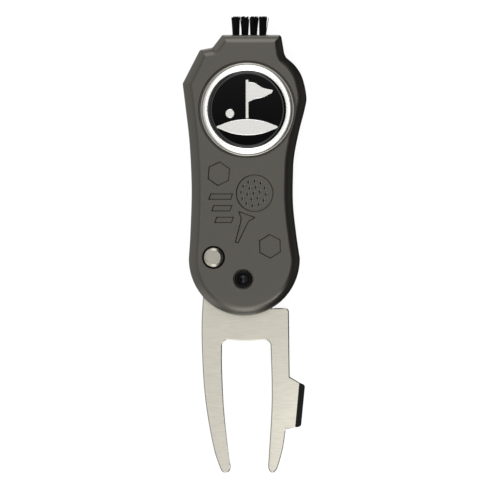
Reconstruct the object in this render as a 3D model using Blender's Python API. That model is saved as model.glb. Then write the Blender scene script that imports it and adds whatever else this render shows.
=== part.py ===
"""Folding divot repair tool with a magnetic ball marker, a brush and a groove cleaner.

The tool lies on its back. +Z points out of the front face, +Y from the fork to the brush.
The origin is where the pivot axis of the fork meets the flat back of the handle.
Sizes are in millimetres, and MM turns them into metres where a mesh is made.
"""

import math

import bmesh
import bpy
from mathutils import Matrix, Vector

MM = 0.001

# Clearances
FIT = 0.2  # between two pieces that fit in each other
LIE = 0.1  # under a piece that lies on another
SHELL_GAP = 0.3  # between the two shells
BLADE_GAP = 0.25  # above and below the blade in its slot
SWEEP_GAP = 0.45  # round the outline of the blade where it turns
TIP_GAP = 1.1  # beyond the prong tips where the blade turns
MARKER_GAP = 0.47  # round the marker in its seat
BUTTON_GAP = 0.45  # round the cap of the button
BORE_GAP = 0.25  # round a piece that slides in a bore
HEAD_GAP = 0.35  # between the round head of the fork and the plunger's collar

# Blade
BLADE_THICKNESS = 1.6
BLADE_REACH = 51.95  # pivot to prong tips
BLADE_EDGE = 0.25  # chamfer along every edge
CROTCH = 16.3  # pivot to the bottom of the fork
CROTCH_ROUND = 1.6
BLADE_LEFT = 11.1
TANG_LEFT = 10.83
SHOULDER_RIGHT = 12.4
SHOULDER_DROP = 7.8  # pivot to the shoulder
SHOULDER_ROUND = 1.0
SHOULDER_INSET = 0.2  # edge above the tab, from the shoulder's line
TAB_START = 28.0  # pivot to the near end of the groove cleaner
TAB_LENGTH = 11.4
TAB_RIGHT = 16.5
TAB_LEAN = 1.05  # how far the tab's ground edge leans in over its length
TAB_GROUND = 1.55  # width of the ground bevel
TAB_EDGE = 0.5  # thickness left at the ground edge

# Slot for the blade
SLOT_RIGHT = 17.2  # where the sweep of the tips leaves the handle
SLOT_TIPS = 9.8  # half width of the slot over the folded tips
SLOT_TAPER = 6.0  # beyond the tab, where the slot begins to narrow
SLOT_IN_AT_TAPER = 1.05  # slot narrower there than at the shoulder
SLOT_IN_AT_WINDOW = 0.85  # slot narrower at the far end of the window
WINDOW_FAR = 1.6  # window beyond the far end of the folded tab
WINDOW_NEAR = 2.3  # window before the near end of the folded tab

# Pivot
SLEEVE_RADIUS = 2.6
SLEEVE_HEX = 4.2
SLEEVE_SEAT = 2.4  # depth of the hex foot's seat under the washer
SLEEVE_FOOT = 1.6
SLEEVE_FLOOR = 1.0  # foot left under the thread
SCREW_HEAD_RADIUS = 2.35
SCREW_HEAD_HEIGHT = 1.4
SCREW_HEAD_GAP = 0.23
SCREW_SHANK = 1.25
SCREW_SUNK = 0.35  # head below the front face
SCREW_WEB = 0.6  # front shell left under the screw's head
SCREW_EDGE = 0.3
SCREW_TIP = 1.4  # sleeve foot to the end of the screw
SOCKET_RADIUS = 1.2
SOCKET_DEPTH = 0.9
WASHER_THICKNESS = 0.3
WASHER_LIFT = 0.12  # front washer above the blade
WASHER_WIDTH = 1.3
REAR_WASHER_RADIUS = 6.6
SPRING_RADIUS = 3.6
SPRING_WIRE = 0.25
SPRING_TURNS = 2.25
SPRING_PITCH = 0.6
SPRING_LEG = 1.9
SPRING_ROOM = 0.45  # round the torsion spring in its pocket
SPRING_LEG_ROOM = 0.3  # each side of the spring's leg
SPRING_TOP_GAP = 0.15

# Release button
BUTTON_X = -7.96
BUTTON_Y = 5.79
BUTTON_RADIUS = 2.6
BUTTON_PROUD = 0.45
BUTTON_CAP = 2.25  # cap above its flange
BUTTON_ROOF = 1.2  # cap left above the plunger's bore
BUTTON_EDGE = 0.5
BUTTON_FLANGE = 1.0  # flange beyond the cap
BUTTON_FLANGE_HEIGHT = 0.9
PLUNGER_NECK = 0.8
PLUNGER_COLLAR = 1.9
COLLAR_UNDER = 0.15  # collar below the underside of the blade
COLLAR_SHY = 0.1  # collar below the upper face of the blade
RETURN_SPRING_POCKET = 3.1
RETURN_SPRING_RADIUS = 1.35
RETURN_SPRING_WIRE = 0.14
RETURN_SPRING_TURNS = 3.5

# Ball marker
MARKER_X = 1.05
TIPS_TO_RIM = 5.8  # folded prong tips to the far rim of the marker
MARKER_RADIUS = 12.5
MARKER_THICKNESS = 1.8
MARKER_SUNK = 0.1  # marker below the front face
MARKER_RIM = 2.2
MARKER_EDGE = 0.4
MARKER_LIP = 0.15  # chamfer inside the rim
ENAMEL_DEPTH = 0.5
ENAMEL_BED = 0.05
ENAMEL_GAP = 0.08
ENAMEL_THICKNESS = 0.35
EMBLEM_HEIGHT = 0.12
EMBLEM_HALF_WIDTH = 8.2
MAGNET_RADIUS = 4.0
MAGNET_THICKNESS = 1.1
KEEPER_THICKNESS = 0.4

# Brush
BRUSH_X = 1.61
TUFT_PITCH = 2.36
TUFTS_ACROSS = 4
TUFT_ROW_OFFSET = 1.2
TUFT_RADIUS = 0.92
TUFT_SHOWN = 5.1
TUFT_SUNK = 3.6
BRUSH_BASE_DEPTH = 7.3
BRUSH_BASE_WALL = 0.6  # base beyond the outer tufts
BRUSH_BASE_SHY = 0.3  # base below the brush edge of the handle
BRUSH_BASE_HALF_HEIGHT = 2.6
BRUSH_FLANGE = 1.2
BRUSH_FLANGE_DEPTH = 3.0

# Handle
REAR_BODY = 4.45  # back of the handle to the underside of the blade
FRONT_BODY = 4.95  # upper face of the blade to the front of the handle
FRONT_EDGE = 2.4  # rounded edge of the front
REAR_EDGE = 1.1
END_X = 0.25
END_Y = 5.5
END_HALF_WIDTH = 14.85
END_HALF_HEIGHT = 15.25
WAIST_RIGHT = 13.28
WAIST_LEFT = 13.83
WAIST_Y = 24.0
TOP_MARGIN = 7.51  # rim of the marker to the brush edge of the handle

# Shell fasteners
INSERT_RADIUS = 1.4
INSERT_LENGTH = 3.0
SHELL_SCREW_HEAD = 1.5
SHELL_SCREW_HEAD_HEIGHT = 1.1
SHELL_SCREW_SHANK = 0.9
SHELL_SCREW_SUNK = 0.3
SHELL_SCREW_GAP = 0.15
SHELL_SCREW_EDGE = 0.25
SHELL_SOCKET_RADIUS = 0.75
SHELL_SOCKET_DEPTH = 0.7
DOWEL_RADIUS = 0.7
DOWEL_LENGTH = 3.6
DOWEL_WALL = 0.9  # shell left between the tang's seat and its dowel
DOWEL_INSET = 2.9  # upper dowel inside the far rim of the marker

# Levels and places that follow from the sizes above
BLADE_LOW = REAR_BODY
BLADE_HIGH = BLADE_LOW + BLADE_THICKNESS
SLOT_LOW = BLADE_LOW - BLADE_GAP
SLOT_HIGH = BLADE_HIGH + BLADE_GAP
MIDDLE = BLADE_LOW + BLADE_THICKNESS / 2
REAR_TOP = MIDDLE - SHELL_GAP / 2
FRONT_LOW = MIDDLE + SHELL_GAP / 2
HANDLE_TOP = BLADE_HIGH + FRONT_BODY
CUT_LOW = FRONT_LOW - 1  # cutters begin this far below the front shell
CUT_HIGH = HANDLE_TOP + 1
REAR_CUT_HIGH = REAR_TOP + 1
BEYOND = 30.0  # cutters reach this far beyond the handle's sides
WEDGE_BEYOND = 2.0  # the wedge that grinds the tab reaches this far beyond it
SCREW_HEAD_LOW = HANDLE_TOP - SCREW_SUNK - SCREW_HEAD_HEIGHT
WEB_TOP = SCREW_HEAD_LOW - FIT
WEB_LOW = WEB_TOP - SCREW_WEB
SLEEVE_TOP = WEB_LOW - FIT
WASHER_FLOOR = SLOT_LOW - WASHER_THICKNESS - LIE / 2
SLEEVE_LOW = WASHER_FLOOR - SLEEVE_SEAT
SPRING_OUTER = SPRING_RADIUS + SPRING_WIRE
FRONT_WASHER_INNER = SPRING_OUTER + SPRING_ROOM + FIT
FRONT_WASHER_OUTER = FRONT_WASHER_INNER + WASHER_WIDTH
BUTTON_TOP = HANDLE_TOP + BUTTON_PROUD
FLANGE_RADIUS = BUTTON_RADIUS + BUTTON_FLANGE
FLANGE_TOP = BUTTON_TOP - BUTTON_CAP
COLLAR_LOW = BLADE_LOW - COLLAR_UNDER
COLLAR_HIGH = BLADE_HIGH - COLLAR_SHY
RETURN_SPRING_FLOOR = SLOT_LOW - RETURN_SPRING_POCKET
NOTCH_RADIUS = PLUNGER_COLLAR + FIT
HEAD_RADIUS = math.hypot(BUTTON_X, BUTTON_Y) - PLUNGER_COLLAR - HEAD_GAP
MARKER_Y = BLADE_REACH + TIPS_TO_RIM - MARKER_RADIUS
MARKER_TOP = HANDLE_TOP - MARKER_SUNK
MARKER_LOW = MARKER_TOP - MARKER_THICKNESS
SEAT_FLOOR = MARKER_LOW - FIT
SEAT_RADIUS = MARKER_RADIUS + MARKER_GAP
MAGNET_FLOOR = SEAT_FLOOR - MAGNET_THICKNESS - KEEPER_THICKNESS - 2 * FIT
BRUSH_END = MARKER_Y + MARKER_RADIUS + TOP_MARGIN
BRUSH_FOOT = BRUSH_END - BRUSH_BASE_SHY - BRUSH_BASE_DEPTH
BRUSH_HALF = (TUFTS_ACROSS - 1) / 2 * TUFT_PITCH + TUFT_RADIUS
TUFTS = [
    (BRUSH_X + (i - (TUFTS_ACROSS - 1) / 2) * TUFT_PITCH, MIDDLE + side * TUFT_ROW_OFFSET)
    for side in (1, -1)
    for i in range(TUFTS_ACROSS)
]
SHELL_SCREWS = [
    (
        MARKER_X + (MARKER_RADIUS + beyond) * math.cos(math.radians(angle)),
        MARKER_Y + (MARKER_RADIUS + beyond) * math.sin(math.radians(angle)),
    )
    for angle, beyond in ((134.5, 3.0), (43.8, 2.5))
]
DOWELS = [
    (-(TANG_LEFT + DOWEL_RADIUS + DOWEL_WALL), 1.6),
    (MARKER_X, MARKER_Y + MARKER_RADIUS - DOWEL_INSET),
]
WHOLE_TURN = 2 * math.pi
ROUND_STEPS = 32
SMALL_STEPS = 24
MARKER_STEPS = 64
HELIX_STEPS = 14  # points on each turn of a spring
MANIFOLD_CUTS = ("front_shell", "rear_shell")  # their many nested cuts need this solver


# Outlines, as lists of (x, y) in millimetres, anticlockwise


def arc(centre, radius, start, end, steps):
    """Points on an arc between two angles in degrees, with both ends."""
    angles = [math.radians(start + (end - start) * i / steps) for i in range(steps + 1)]
    return [(centre[0] + radius * math.cos(a), centre[1] + radius * math.sin(a)) for a in angles]


def smooth(points, steps):
    """Points on a smooth curve through the given ones, with both ends."""
    knots = [Vector(p) for p in points]
    knots = [2 * knots[0] - knots[1]] + knots + [2 * knots[-1] - knots[-2]]
    found = []
    for before, start, end, after in zip(knots, knots[1:], knots[2:], knots[3:]):
        for i in range(steps):
            t = i / steps
            pull = start * 2 + (end - before) * t
            pull += (before * 2 - start * 5 + end * 4 - after) * t**2
            pull += (start * 3 - before - end * 3 + after) * t**3
            found.append(tuple(pull / 2))
    return found + [tuple(knots[-2])]


def around_marker(angle, wall):
    """A point the given distance beyond the marker's rim."""
    return arc((MARKER_X, MARKER_Y), MARKER_RADIUS + wall, angle, angle, 1)[0]


def handle_outline():
    """The handle: a round end at the pivot, a waist, a bulge round the marker and a stepped brush end."""
    lower_end = [
        (END_X + END_HALF_WIDTH * x, END_Y + END_HALF_HEIGHT * y)
        for x, y in arc((0, 0), 1, 180, 360, 24)
    ]
    right_side = smooth(
        [
            lower_end[-1],
            (WAIST_RIGHT + 0.85, WAIST_Y - 12),
            (WAIST_RIGHT, WAIST_Y - 4),
            (WAIST_RIGHT, WAIST_Y + 4),
            around_marker(-44.2, 5.02),
            around_marker(-22.9, 2.5),
            around_marker(2, 2.96),
            around_marker(13.4, 3.72),
            around_marker(30.5, 4.53),
            around_marker(42.6, 4.87),
            around_marker(53.5, 4.9),
        ],
        3,
    )
    brush_end = [
        (BRUSH_X + BRUSH_HALF + 4.85, BRUSH_END - 5.0),
        (BRUSH_X + BRUSH_HALF + 4.0, BRUSH_END),
        (BRUSH_X - BRUSH_HALF - 2.75, BRUSH_END),
        (BRUSH_X - BRUSH_HALF - 5.35, BRUSH_END - 3.4),
        (BRUSH_X - BRUSH_HALF - 8.75, BRUSH_END - 4.0),
    ]
    left_side = smooth(
        [
            around_marker(158.1, 6.14),
            around_marker(178.1, 4.01),
            around_marker(210.3, 5.37),
            (-WAIST_LEFT, WAIST_Y),
            (-WAIST_LEFT - 0.35, WAIST_Y - 12),
            lower_end[0],
        ],
        4,
    )
    return lower_end + right_side[1:] + brush_end + left_side[:-1]


def prong(share):
    """The distance from the pivot at a share of the way from the crotch to the tips, downwards."""
    return -(CROTCH + (BLADE_REACH - CROTCH) * share)


def blade_outline():
    """The fork: a round head on the pivot, a shoulder, two curved prongs and the groove cleaner's tab."""
    tab_end = TAB_START + TAB_LENGTH
    crotch_level = -CROTCH - CROTCH_ROUND
    left_prong = smooth(
        [
            (-TANG_LEFT, 0),
            (-TANG_LEFT, -4.8),
            (-BLADE_LEFT, -10.5),
            (-BLADE_LEFT, prong(0.03)),
            (-BLADE_LEFT + 0.54, prong(0.335)),
            (-BLADE_LEFT + 1.6, prong(0.58)),
            (-BLADE_LEFT + 3.25, prong(0.82)),
            (-BLADE_LEFT + 4.75, prong(0.95)),
            (-BLADE_LEFT + 5.5, prong(0.99)),
            (-BLADE_LEFT + 6.45, prong(1.0)),
            (-BLADE_LEFT + 7.4, prong(0.985)),
            (-BLADE_LEFT + 7.75, prong(0.95)),
            (-BLADE_LEFT + 7.3, prong(0.88)),
            (-BLADE_LEFT + 5.95, prong(0.52)),
            (-BLADE_LEFT + 5.42, prong(0.2)),
            (-BLADE_LEFT + 5.42, crotch_level),
        ],
        3,
    )
    crotch = arc((-BLADE_LEFT + 5.42 + CROTCH_ROUND, crotch_level), CROTCH_ROUND, 180, 90, 5)
    crotch += [((-BLADE_LEFT + SHOULDER_RIGHT) / 2, -CROTCH - 0.25)]
    crotch += arc((SHOULDER_RIGHT - 5.1 - CROTCH_ROUND, crotch_level), CROTCH_ROUND, 90, 0, 5)[:-1]
    right_prong = smooth(
        [
            (SHOULDER_RIGHT - 5.1, crotch_level),
            (SHOULDER_RIGHT - 4.8, prong(0.33)),
            (SHOULDER_RIGHT - 4.9, prong(0.55)),
            (SHOULDER_RIGHT - 5.6, prong(0.88)),
            (SHOULDER_RIGHT - 5.75, prong(0.95)),
            (SHOULDER_RIGHT - 5.4, prong(0.985)),
            (SHOULDER_RIGHT - 4.6, prong(1.0)),
            (SHOULDER_RIGHT - 3.8, prong(0.985)),
            (SHOULDER_RIGHT - 3.15, prong(0.95)),
            (SHOULDER_RIGHT - 1.84, prong(0.82)),
            (SHOULDER_RIGHT - 1.05, -tab_end - 0.85),
        ],
        3,
    )
    tab = [(SHOULDER_RIGHT + 1.4, -tab_end - 0.4)]
    tab += arc((TAB_RIGHT - 1.75, -tab_end + 0.55), 0.8, 280, 355, 4)
    tab += arc((TAB_RIGHT - 0.9, -TAB_START - 1.0), 0.9, 0, 75, 4)
    tab += [(TAB_RIGHT - 1.6, -TAB_START + 0.3), (SHOULDER_RIGHT, -TAB_START + 1.8)]
    corner = (SHOULDER_RIGHT - SHOULDER_INSET - SHOULDER_ROUND, -SHOULDER_DROP - SHOULDER_ROUND)
    shoulder = arc(corner, SHOULDER_ROUND, 0, 90, 5)
    head = [(HEAD_RADIUS / 2, -SHOULDER_DROP)] + arc((0, 0), HEAD_RADIUS, -58, 150, 20)
    tang = arc((0, 0), TANG_LEFT, 158, 180, 4)[:-1]
    return left_prong + crotch[1:] + right_prong + tab + shoulder + head + tang


def slot_outline():
    """Everything that the blade passes over as it turns, with a window for the tab.

    It is open to the right and below.
    """
    side = SHOULDER_RIGHT + SWEEP_GAP
    tang = TANG_LEFT + SWEEP_GAP
    reach = BLADE_REACH + TIP_GAP
    tab_end = TAB_START + TAB_LENGTH
    right_angle = math.degrees(math.acos(SLOT_RIGHT / reach))
    left_angle = 180 - math.degrees(math.acos(SLOT_TIPS / reach))
    tips = arc((0, 0), reach, right_angle, left_angle, 16)
    window = [(-BEYOND, tab_end + WINDOW_FAR), (-BEYOND, TAB_START - WINDOW_NEAR)]
    return (
        [(-tang, -BEYOND), (BEYOND, -BEYOND), (BEYOND, tips[0][1])]
        + tips
        + [(-side + SLOT_IN_AT_TAPER, tab_end + SLOT_TAPER)]
        + [(-side + SLOT_IN_AT_WINDOW, tab_end + WINDOW_FAR)]
        + window
        + [(-side, TAB_START - WINDOW_NEAR), (-side, SHOULDER_DROP - SWEEP_GAP)]
        + arc((BUTTON_X, BUTTON_Y), NOTCH_RADIUS + LIE, 135, 200, 4)
        + arc((0, 0), tang, 154, 180, 4)
    )


# Mesh tools


def material(name, colour, roughness, metallic):
    """A plain finish for one kind of piece."""
    made = bpy.data.materials.new(name)
    made.use_nodes = True
    shader = made.node_tree.nodes["Principled BSDF"]
    shader.inputs["Base Color"].default_value = (*colour, 1)
    shader.inputs["Roughness"].default_value = roughness
    shader.inputs["Metallic"].default_value = metallic
    made.diffuse_color = (*colour, 1)
    return made


def finish(bm, name, finish_material, parent=None, smooth_angle=35):
    """Turns a bmesh in millimetres into an object in metres, with its origin on its parent's."""
    bmesh.ops.recalc_face_normals(bm, faces=bm.faces)
    bmesh.ops.scale(bm, vec=(MM, MM, MM), verts=bm.verts)
    mesh = bpy.data.meshes.new(name)
    bm.to_mesh(mesh)
    bm.free()
    mesh.shade_smooth()
    mesh.set_sharp_from_angle(angle=math.radians(smooth_angle))
    made = bpy.data.objects.new(name, mesh)
    bpy.context.scene.collection.objects.link(made)
    if finish_material:
        mesh.materials.append(finish_material)
    if parent:
        made.parent = parent
        mesh.transform(Matrix.Translation(-parent.location))
    return made


def joint_empty(name, x, y, z):
    """An empty on a joint's axis, which carries the pieces that move there."""
    empty = bpy.data.objects.new(name, None)
    empty.location = (x * MM, y * MM, z * MM)
    bpy.context.scene.collection.objects.link(empty)
    return empty


def prism(outline, low, high):
    """An upright block with the given outline."""
    bm = bmesh.new()
    base = bm.faces.new([bm.verts.new((x, y, low)) for x, y in outline])
    grown = bmesh.ops.extrude_face_region(bm, geom=[base])["geom"]
    raised = [item for item in grown if isinstance(item, bmesh.types.BMVert)]
    bmesh.ops.translate(bm, vec=(0, 0, high - low), verts=raised)
    bmesh.ops.recalc_face_normals(bm, faces=bm.faces)
    return bm


def round_rim(bm, level, width, segments):
    """Bevels the edges of a block that lie at one level."""
    rim = [e for e in bm.edges if all(abs(v.co.z - level) < 1e-4 for v in e.verts)]
    bmesh.ops.bevel(
        bm, geom=rim, offset=width, segments=segments, profile=0.5, affect="EDGES", material=-1
    )


def turned(profile, x=0.0, y=0.0, steps=ROUND_STEPS):
    """A solid of revolution about an upright axis, from (radius, z) points."""
    bm = bmesh.new()
    points = [bm.verts.new((radius, 0, z)) for radius, z in profile]
    edges = [bm.edges.new(pair) for pair in zip(points, points[1:])]
    if profile[0][0] > 0:
        edges.append(bm.edges.new((points[-1], points[0])))
    bmesh.ops.spin(
        bm,
        geom=points + edges,
        cent=(0, 0, 0),
        axis=(0, 0, 1),
        angle=WHOLE_TURN,
        steps=steps,
        use_merge=True,
        use_duplicate=False,
    )
    bmesh.ops.remove_doubles(bm, verts=bm.verts, dist=1e-5)
    bmesh.ops.translate(bm, vec=(x, y, 0), verts=bm.verts)
    return bm


def drill(radius, low, high, x=0.0, y=0.0, steps=ROUND_STEPS):
    """A plain round block, used to cut a hole."""
    return turned([(0, low), (radius, low), (radius, high), (0, high)], x, y, steps)


def block(x_low, x_high, y_low, y_high, low, high):
    """An upright block with a rectangular outline."""
    return prism([(x_low, y_low), (x_high, y_low), (x_high, y_high), (x_low, y_high)], low, high)


def cut(target, bm, name):
    """Subtracts a cutter from an object. The cutter stays in the scene as a hidden guide."""
    cutter = finish(bm, "cut_" + target.name + "_" + name, None, target.parent)
    cutter.hide_render = True
    cutter.display_type = "WIRE"
    step = target.modifiers.new(name, "BOOLEAN")
    step.operation = "DIFFERENCE"
    step.solver = "MANIFOLD" if target.name in MANIFOLD_CUTS else "EXACT"
    step.object = cutter


def helix(centre, low, high, radius, turns):
    """Points along a rising helix."""
    steps = round(turns * HELIX_STEPS)
    points = []
    for i in range(steps + 1):
        angle = WHOLE_TURN * turns * i / steps
        height = low + (high - low) * i / steps
        x = centre[0] + radius * math.cos(angle)
        y = centre[1] + radius * math.sin(angle)
        points.append((x, y, height))
    return points


def wire(name, finish_material, path, radius):
    """A closed round wire along a path."""
    curve = bpy.data.curves.new(name, "CURVE")
    curve.dimensions = "3D"
    curve.bevel_depth = radius * MM
    curve.bevel_resolution = 1
    curve.use_fill_caps = True
    line = curve.splines.new("POLY")
    line.points.add(len(path) - 1)
    for point, place in zip(line.points, path):
        point.co = (*(Vector(place) * MM), 1)
    curve.materials.append(finish_material)
    made = bpy.data.objects.new(name, curve)
    bpy.context.scene.collection.objects.link(made)


# Pieces


def make_front_shell(finishes):
    """Front half of the handle, with the seat of the marker and the bores of the button and the screw."""
    bm = prism(handle_outline(), FRONT_LOW, HANDLE_TOP)
    round_rim(bm, HANDLE_TOP, FRONT_EDGE, 3)
    shell = finish(bm, "front_shell", finishes["soft_paint"])
    cut(shell, prism(slot_outline(), CUT_LOW, SLOT_HIGH), "slot")
    cut(shell, drill(SCREW_HEAD_RADIUS + SCREW_HEAD_GAP, WEB_TOP, CUT_HIGH), "counterbore")
    cut(shell, drill(SCREW_SHANK + BORE_GAP, CUT_LOW, CUT_HIGH), "screw_hole")
    cut(shell, drill(SPRING_OUTER + SPRING_ROOM, CUT_LOW, WEB_LOW), "spring_pocket")
    half = SPRING_WIRE + SPRING_LEG_ROOM
    leg_end = SPRING_OUTER + SPRING_LEG + SPRING_LEG_ROOM
    leg = block(-half, half, SPRING_RADIUS / 2, leg_end, WEB_LOW - 2 * half, WEB_LOW)
    cut(shell, leg, "spring_leg")
    washer_top = SLOT_HIGH + WASHER_THICKNESS + LIE / 2
    cut(shell, drill(FRONT_WASHER_OUTER + FIT, CUT_LOW, washer_top), "washer_recess")
    cut(shell, drill(BUTTON_RADIUS + BUTTON_GAP, CUT_LOW, CUT_HIGH, BUTTON_X, BUTTON_Y), "button_bore")
    flange_bore = drill(FLANGE_RADIUS + BORE_GAP, CUT_LOW, FLANGE_TOP + FIT, BUTTON_X, BUTTON_Y)
    cut(shell, flange_bore, "flange_bore")
    seat = drill(SEAT_RADIUS, SEAT_FLOOR, CUT_HIGH, MARKER_X, MARKER_Y, MARKER_STEPS)
    cut(shell, seat, "marker_seat")
    pocket = drill(MAGNET_RADIUS + FIT, MAGNET_FLOOR, CUT_HIGH, MARKER_X, MARKER_Y)
    cut(shell, pocket, "magnet_pocket")
    for number, (x, y) in enumerate(SHELL_SCREWS, 1):
        top = FRONT_LOW + INSERT_LENGTH + 2 * FIT
        cut(shell, drill(INSERT_RADIUS + FIT, CUT_LOW, top, x, y, SMALL_STEPS), f"insert_{number}")
    for number, (x, y) in enumerate(DOWELS, 1):
        top = MIDDLE + DOWEL_LENGTH / 2 + FIT
        cut(shell, drill(DOWEL_RADIUS + FIT, CUT_LOW, top, x, y, SMALL_STEPS), f"dowel_{number}")
    cut_brush_pocket(shell)


def make_rear_shell(finishes):
    """Back half of the handle, flat behind, with the seats of the sleeve, the spring and the screws."""
    bm = prism(handle_outline(), 0, REAR_TOP)
    round_rim(bm, 0, REAR_EDGE, 2)
    shell = finish(bm, "rear_shell", finishes["soft_paint"])
    high = REAR_CUT_HIGH
    cut(shell, prism(slot_outline(), SLOT_LOW, high), "slot")
    cut(shell, drill(REAR_WASHER_RADIUS + FIT, WASHER_FLOOR, high), "washer_recess")
    cut(shell, drill(SLEEVE_HEX + FIT, SLEEVE_LOW, high, steps=6), "sleeve_hex")
    bore = drill(PLUNGER_COLLAR + BORE_GAP, RETURN_SPRING_FLOOR, high, BUTTON_X, BUTTON_Y)
    cut(shell, bore, "plunger_bore")
    seat = SHELL_SCREW_SUNK + SHELL_SCREW_HEAD_HEIGHT + FIT
    wide, narrow = SHELL_SCREW_HEAD + SHELL_SCREW_GAP, SHELL_SCREW_SHANK + SHELL_SCREW_GAP
    profile = [(0, -1), (wide, -1), (wide, seat), (narrow, seat), (narrow, high), (0, high)]
    for number, (x, y) in enumerate(SHELL_SCREWS, 1):
        cut(shell, turned(profile, x, y, SMALL_STEPS), f"screw_hole_{number}")
    for number, (x, y) in enumerate(DOWELS, 1):
        floor = MIDDLE - DOWEL_LENGTH / 2 - FIT
        cut(shell, drill(DOWEL_RADIUS + FIT, floor, high, x, y, SMALL_STEPS), f"dowel_{number}")
    cut_brush_pocket(shell)


def brush_base_block(grow):
    """The brush base's body and its wider foot, grown by a clearance.

    The grown one cuts the pocket, and runs out of the brush end.
    """
    half = BRUSH_HALF + BRUSH_BASE_WALL + grow
    wide = half + BRUSH_FLANGE
    foot = BRUSH_FOOT - grow
    step = BRUSH_FOOT + BRUSH_FLANGE_DEPTH + grow
    tip = BRUSH_END + (BEYOND if grow else -BRUSH_BASE_SHY)
    outline = [(-wide, foot), (wide, foot), (wide, step), (half, step)]
    outline += [(half, tip), (-half, tip), (-half, step), (-wide, step)]
    low = MIDDLE - BRUSH_BASE_HALF_HEIGHT - grow
    high = MIDDLE + BRUSH_BASE_HALF_HEIGHT + grow
    return prism([(BRUSH_X + x, y) for x, y in outline], low, high)


def cut_brush_pocket(shell):
    """Cuts the seat of the brush base out of a shell."""
    cut(shell, brush_base_block(FIT), "brush_pocket")


def make_blade(finishes, parent):
    """The stamped fork with its pivot hole, two notches for the collar and the ground edge of its tab."""
    bm = prism(blade_outline(), BLADE_LOW, BLADE_HIGH)
    round_rim(bm, BLADE_LOW, BLADE_EDGE, 1)
    round_rim(bm, BLADE_HIGH, BLADE_EDGE, 1)
    blade = finish(bm, "fork_blade", finishes["brushed_steel"], parent)
    low, high = BLADE_LOW - 1, BLADE_HIGH + 1
    cut(blade, drill(SLEEVE_RADIUS + FIT, low, high), "pivot_hole")
    for number, side in enumerate((1, -1), 1):
        notch = drill(NOTCH_RADIUS, low, high, side * BUTTON_X, side * BUTTON_Y)
        cut(blade, notch, f"lock_notch_{number}")
    cut(blade, ground_wedge(), "ground_edge")


def ground_wedge():
    """The wedge that grinds the tab down to a thin edge."""
    up = Vector((0, 0, 1))
    near = Vector((TAB_RIGHT, -TAB_START, 0))
    far = Vector((TAB_RIGHT - TAB_LEAN, -TAB_START - TAB_LENGTH, 0))
    along = (far - near).normalized()
    inward = along.cross(up)
    inner = inward * TAB_GROUND + up * BLADE_HIGH
    outer = up * (BLADE_LOW + TAB_EDGE)
    slope = (inner - outer).normalized()
    below = outer - slope * WEDGE_BEYOND
    above = inner + slope * WEDGE_BEYOND
    roof = BLADE_HIGH + 2 * WEDGE_BEYOND
    profile = [below, above, Vector((*above.xy, roof)), Vector((*below.xy, roof))]
    bm = bmesh.new()
    face = bm.faces.new([bm.verts.new(near - along * WEDGE_BEYOND + p) for p in profile])
    grown = bmesh.ops.extrude_face_region(bm, geom=[face])["geom"]
    moved = [item for item in grown if isinstance(item, bmesh.types.BMVert)]
    bmesh.ops.translate(bm, vec=along * ((far - near).length + 2 * WEDGE_BEYOND), verts=moved)
    return bm


def make_pivot(finishes):
    """Hex-socket screw, the hex-footed sleeve that the blade turns on, two washers and the torsion spring."""
    foot = SLEEVE_LOW + FIT
    make_pivot_screw(finishes, foot)
    make_pivot_sleeve(finishes, foot)
    inner = SLEEVE_RADIUS + BORE_GAP
    make_washer("rear_washer", finishes, inner, REAR_WASHER_RADIUS, WASHER_FLOOR + LIE)
    low = BLADE_HIGH + WASHER_LIFT
    make_washer("front_washer", finishes, FRONT_WASHER_INNER, FRONT_WASHER_OUTER, low)
    spring_high = SLEEVE_TOP - SPRING_WIRE - SPRING_TOP_GAP
    spring_low = spring_high - SPRING_TURNS * SPRING_PITCH
    path = helix((0, 0), spring_low, spring_high, SPRING_RADIUS, SPRING_TURNS)
    path.append((0, SPRING_RADIUS + SPRING_LEG, spring_high))
    wire("torsion_spring", finishes["spring_steel"], path, SPRING_WIRE)


def make_pivot_screw(finishes, foot):
    """The screw with a hex socket that goes down into the sleeve."""
    radius, shank, edge = SCREW_HEAD_RADIUS, SCREW_SHANK, SCREW_EDGE
    tip = foot + SCREW_TIP
    low = SCREW_HEAD_LOW
    high = low + SCREW_HEAD_HEIGHT
    profile = [(0, tip), (shank - edge, tip), (shank, tip + edge), (shank, low)]
    profile += [(radius, low), (radius, high - edge), (radius - edge, high), (0, high)]
    screw = finish(turned(profile), "pivot_screw", finishes["black_oxide"])
    cut(screw, drill(SOCKET_RADIUS, high - SOCKET_DEPTH, high + 1, steps=6), "hex_socket")


def make_pivot_sleeve(finishes, foot):
    """A hexagonal foot joined to a round barrel, with a blind thread for the screw."""
    sleeve = drill(SLEEVE_HEX, foot, foot + SLEEVE_FOOT, steps=6)
    sleeve = finish(sleeve, "pivot_sleeve", finishes["steel"])
    barrel = drill(SLEEVE_RADIUS, foot + SLEEVE_FOOT / 2, SLEEVE_TOP)
    barrel = finish(barrel, "guide_sleeve_barrel", None)
    barrel.hide_render = True
    barrel.display_type = "WIRE"
    join = sleeve.modifiers.new("barrel", "BOOLEAN")
    join.operation = "UNION"
    join.solver = "EXACT"
    join.object = barrel
    cut(sleeve, drill(SCREW_SHANK + FIT, foot + SLEEVE_FLOOR, SLEEVE_TOP + 1), "thread")


def make_washer(name, finishes, inner, outer, low):
    """A thin nylon ring between the fork and a shell."""
    high = low + WASHER_THICKNESS
    ring = turned([(inner, low), (outer, low), (outer, high), (inner, high)])
    finish(ring, name, finishes["nylon"])


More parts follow.
